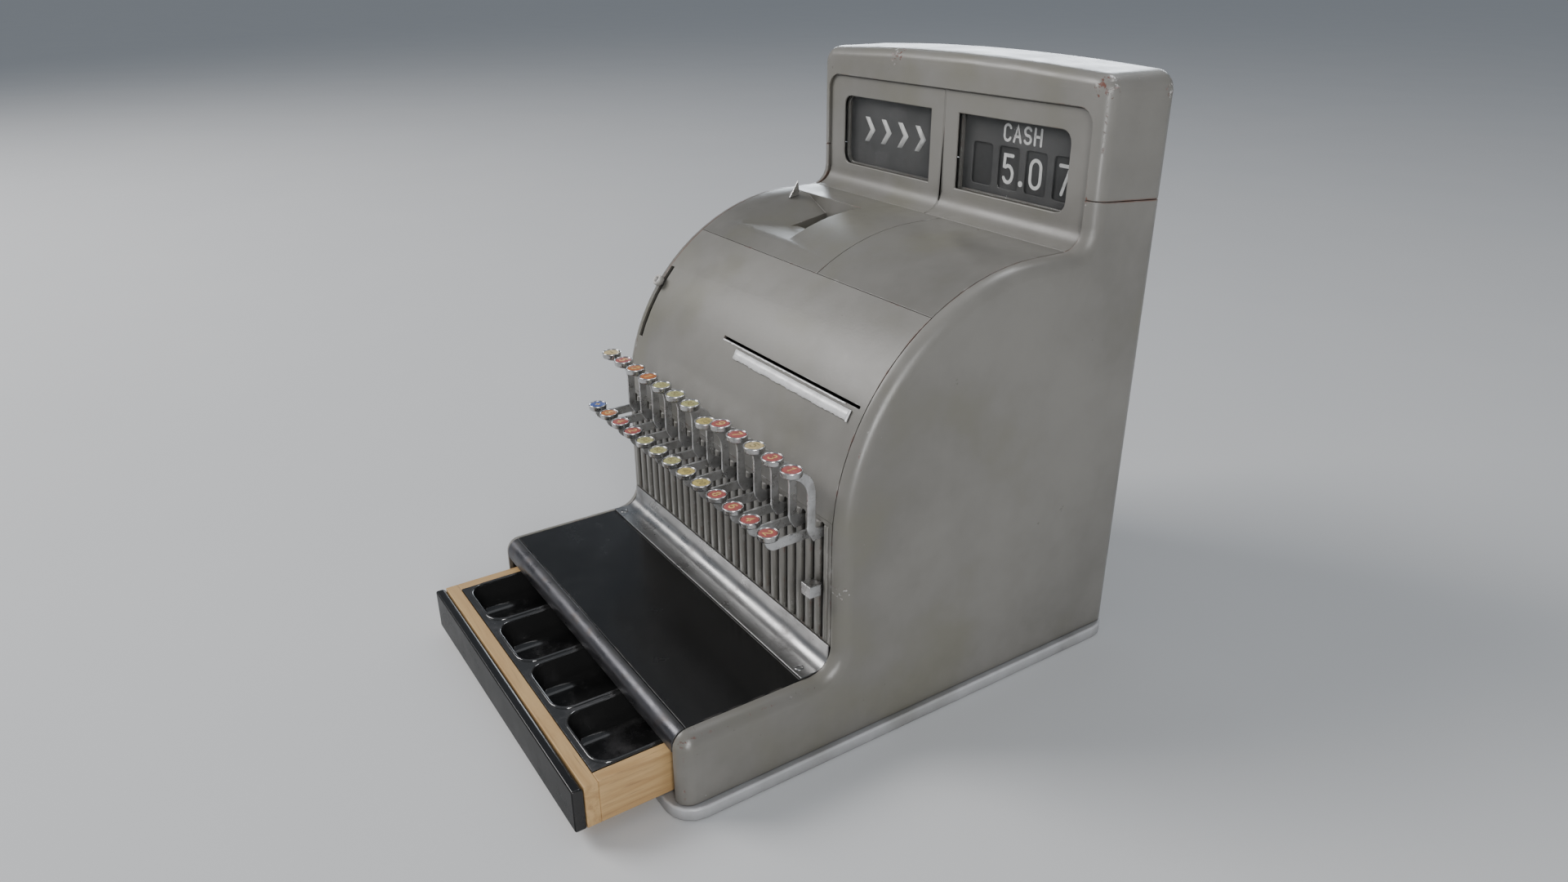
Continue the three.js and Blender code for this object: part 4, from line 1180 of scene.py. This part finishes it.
def area_light(name, at, target, size, power, color, on_matt=True):
    """A rectangular light aimed at a target; without `on_matt` it only shows in gloss."""
    data = bpy.data.lights.new(name, "AREA")
    data.shape = "RECTANGLE"
    data.size, data.size_y = size
    data.energy = power
    data.color = color
    light = put_in_scene(name, data)
    light.location = at
    light.visible_diffuse = on_matt
    light.rotation_mode = "QUATERNION"
    light.rotation_quaternion = (Vector(target) - Vector(at)).to_track_quat("-Z", "Y")


def make_floor():
    """The plain pale floor."""
    s = Shader("floor_plain", Specular_IOR_Level=0.0)
    tone = s.mix(s.noise(3.0, 3.0), (0.72, 0.73, 0.74, 1), (0.76, 0.765, 0.77, 1))
    mesh = bpy.data.meshes.new("floor")
    corners = [(x * FLOOR_HALF, y * FLOOR_HALF, 0) for x, y in ((-1, -1), (1, -1), (1, 1), (-1, 1))]
    mesh.from_pydata(corners, [], [(0, 1, 2, 3)])
    mesh.materials.append(s.finish(tone, 1.0))
    floor = put_in_scene("floor", mesh)


def make_world():
    """A dim, slightly blue surrounding light."""
    world = bpy.data.worlds.new("studio")
    world.use_nodes = True
    background = world.node_tree.nodes["Background"]
    background.inputs["Color"].default_value = (0.66, 0.72, 0.80, 1)
    background.inputs["Strength"].default_value = 0.34
    bpy.context.scene.world = world


def make_lights():
    """The main light from the left front, fills, and lights that only show in gloss."""
    area_light("key", (-2.7, -2.65, 3.25), (0, -0.05, 0.25), (2.2, 2.2), 160, (1.0, 0.98, 0.97))
    area_light("top", (-0.2, 0.3, 3.2), (0, 0, 0.3), (2.2, 1.8), 6, (0.96, 0.98, 1.0))
    area_light("right", (3.8, -1.5, 2.05), (0, 0, 0.25), (1.0, 2.2), 88, (1.0, 0.99, 0.97))
    area_light("back_left", (-3.0, 3.3, 1.5), (0, 0.15, 0.5), (3.0, 1.4), 110, (0.86, 0.93, 1.0), False)
    area_light("edge", (1.50, -0.96, 0.58), (0.17, 0.16, 0.44), (0.20, 1.1), 14, (1.0, 1.0, 1.0), False)
    area_light("rim", (-0.1, 1.7, 2.9), (0, -0.05, 0.2), (1.1, 0.7), 34, (0.95, 0.97, 1.0), False)


# ---- Assembly ----
make_camera()
make_floor()
make_world()
make_lights()
dress_housing()
split_bezel()
bezel_seals()
window_liners()
dress_shelf()
build_drawer()
build_keys()
build_indicator()
dress_fittings()
rear_screws()

bpy.context.view_layer.update()
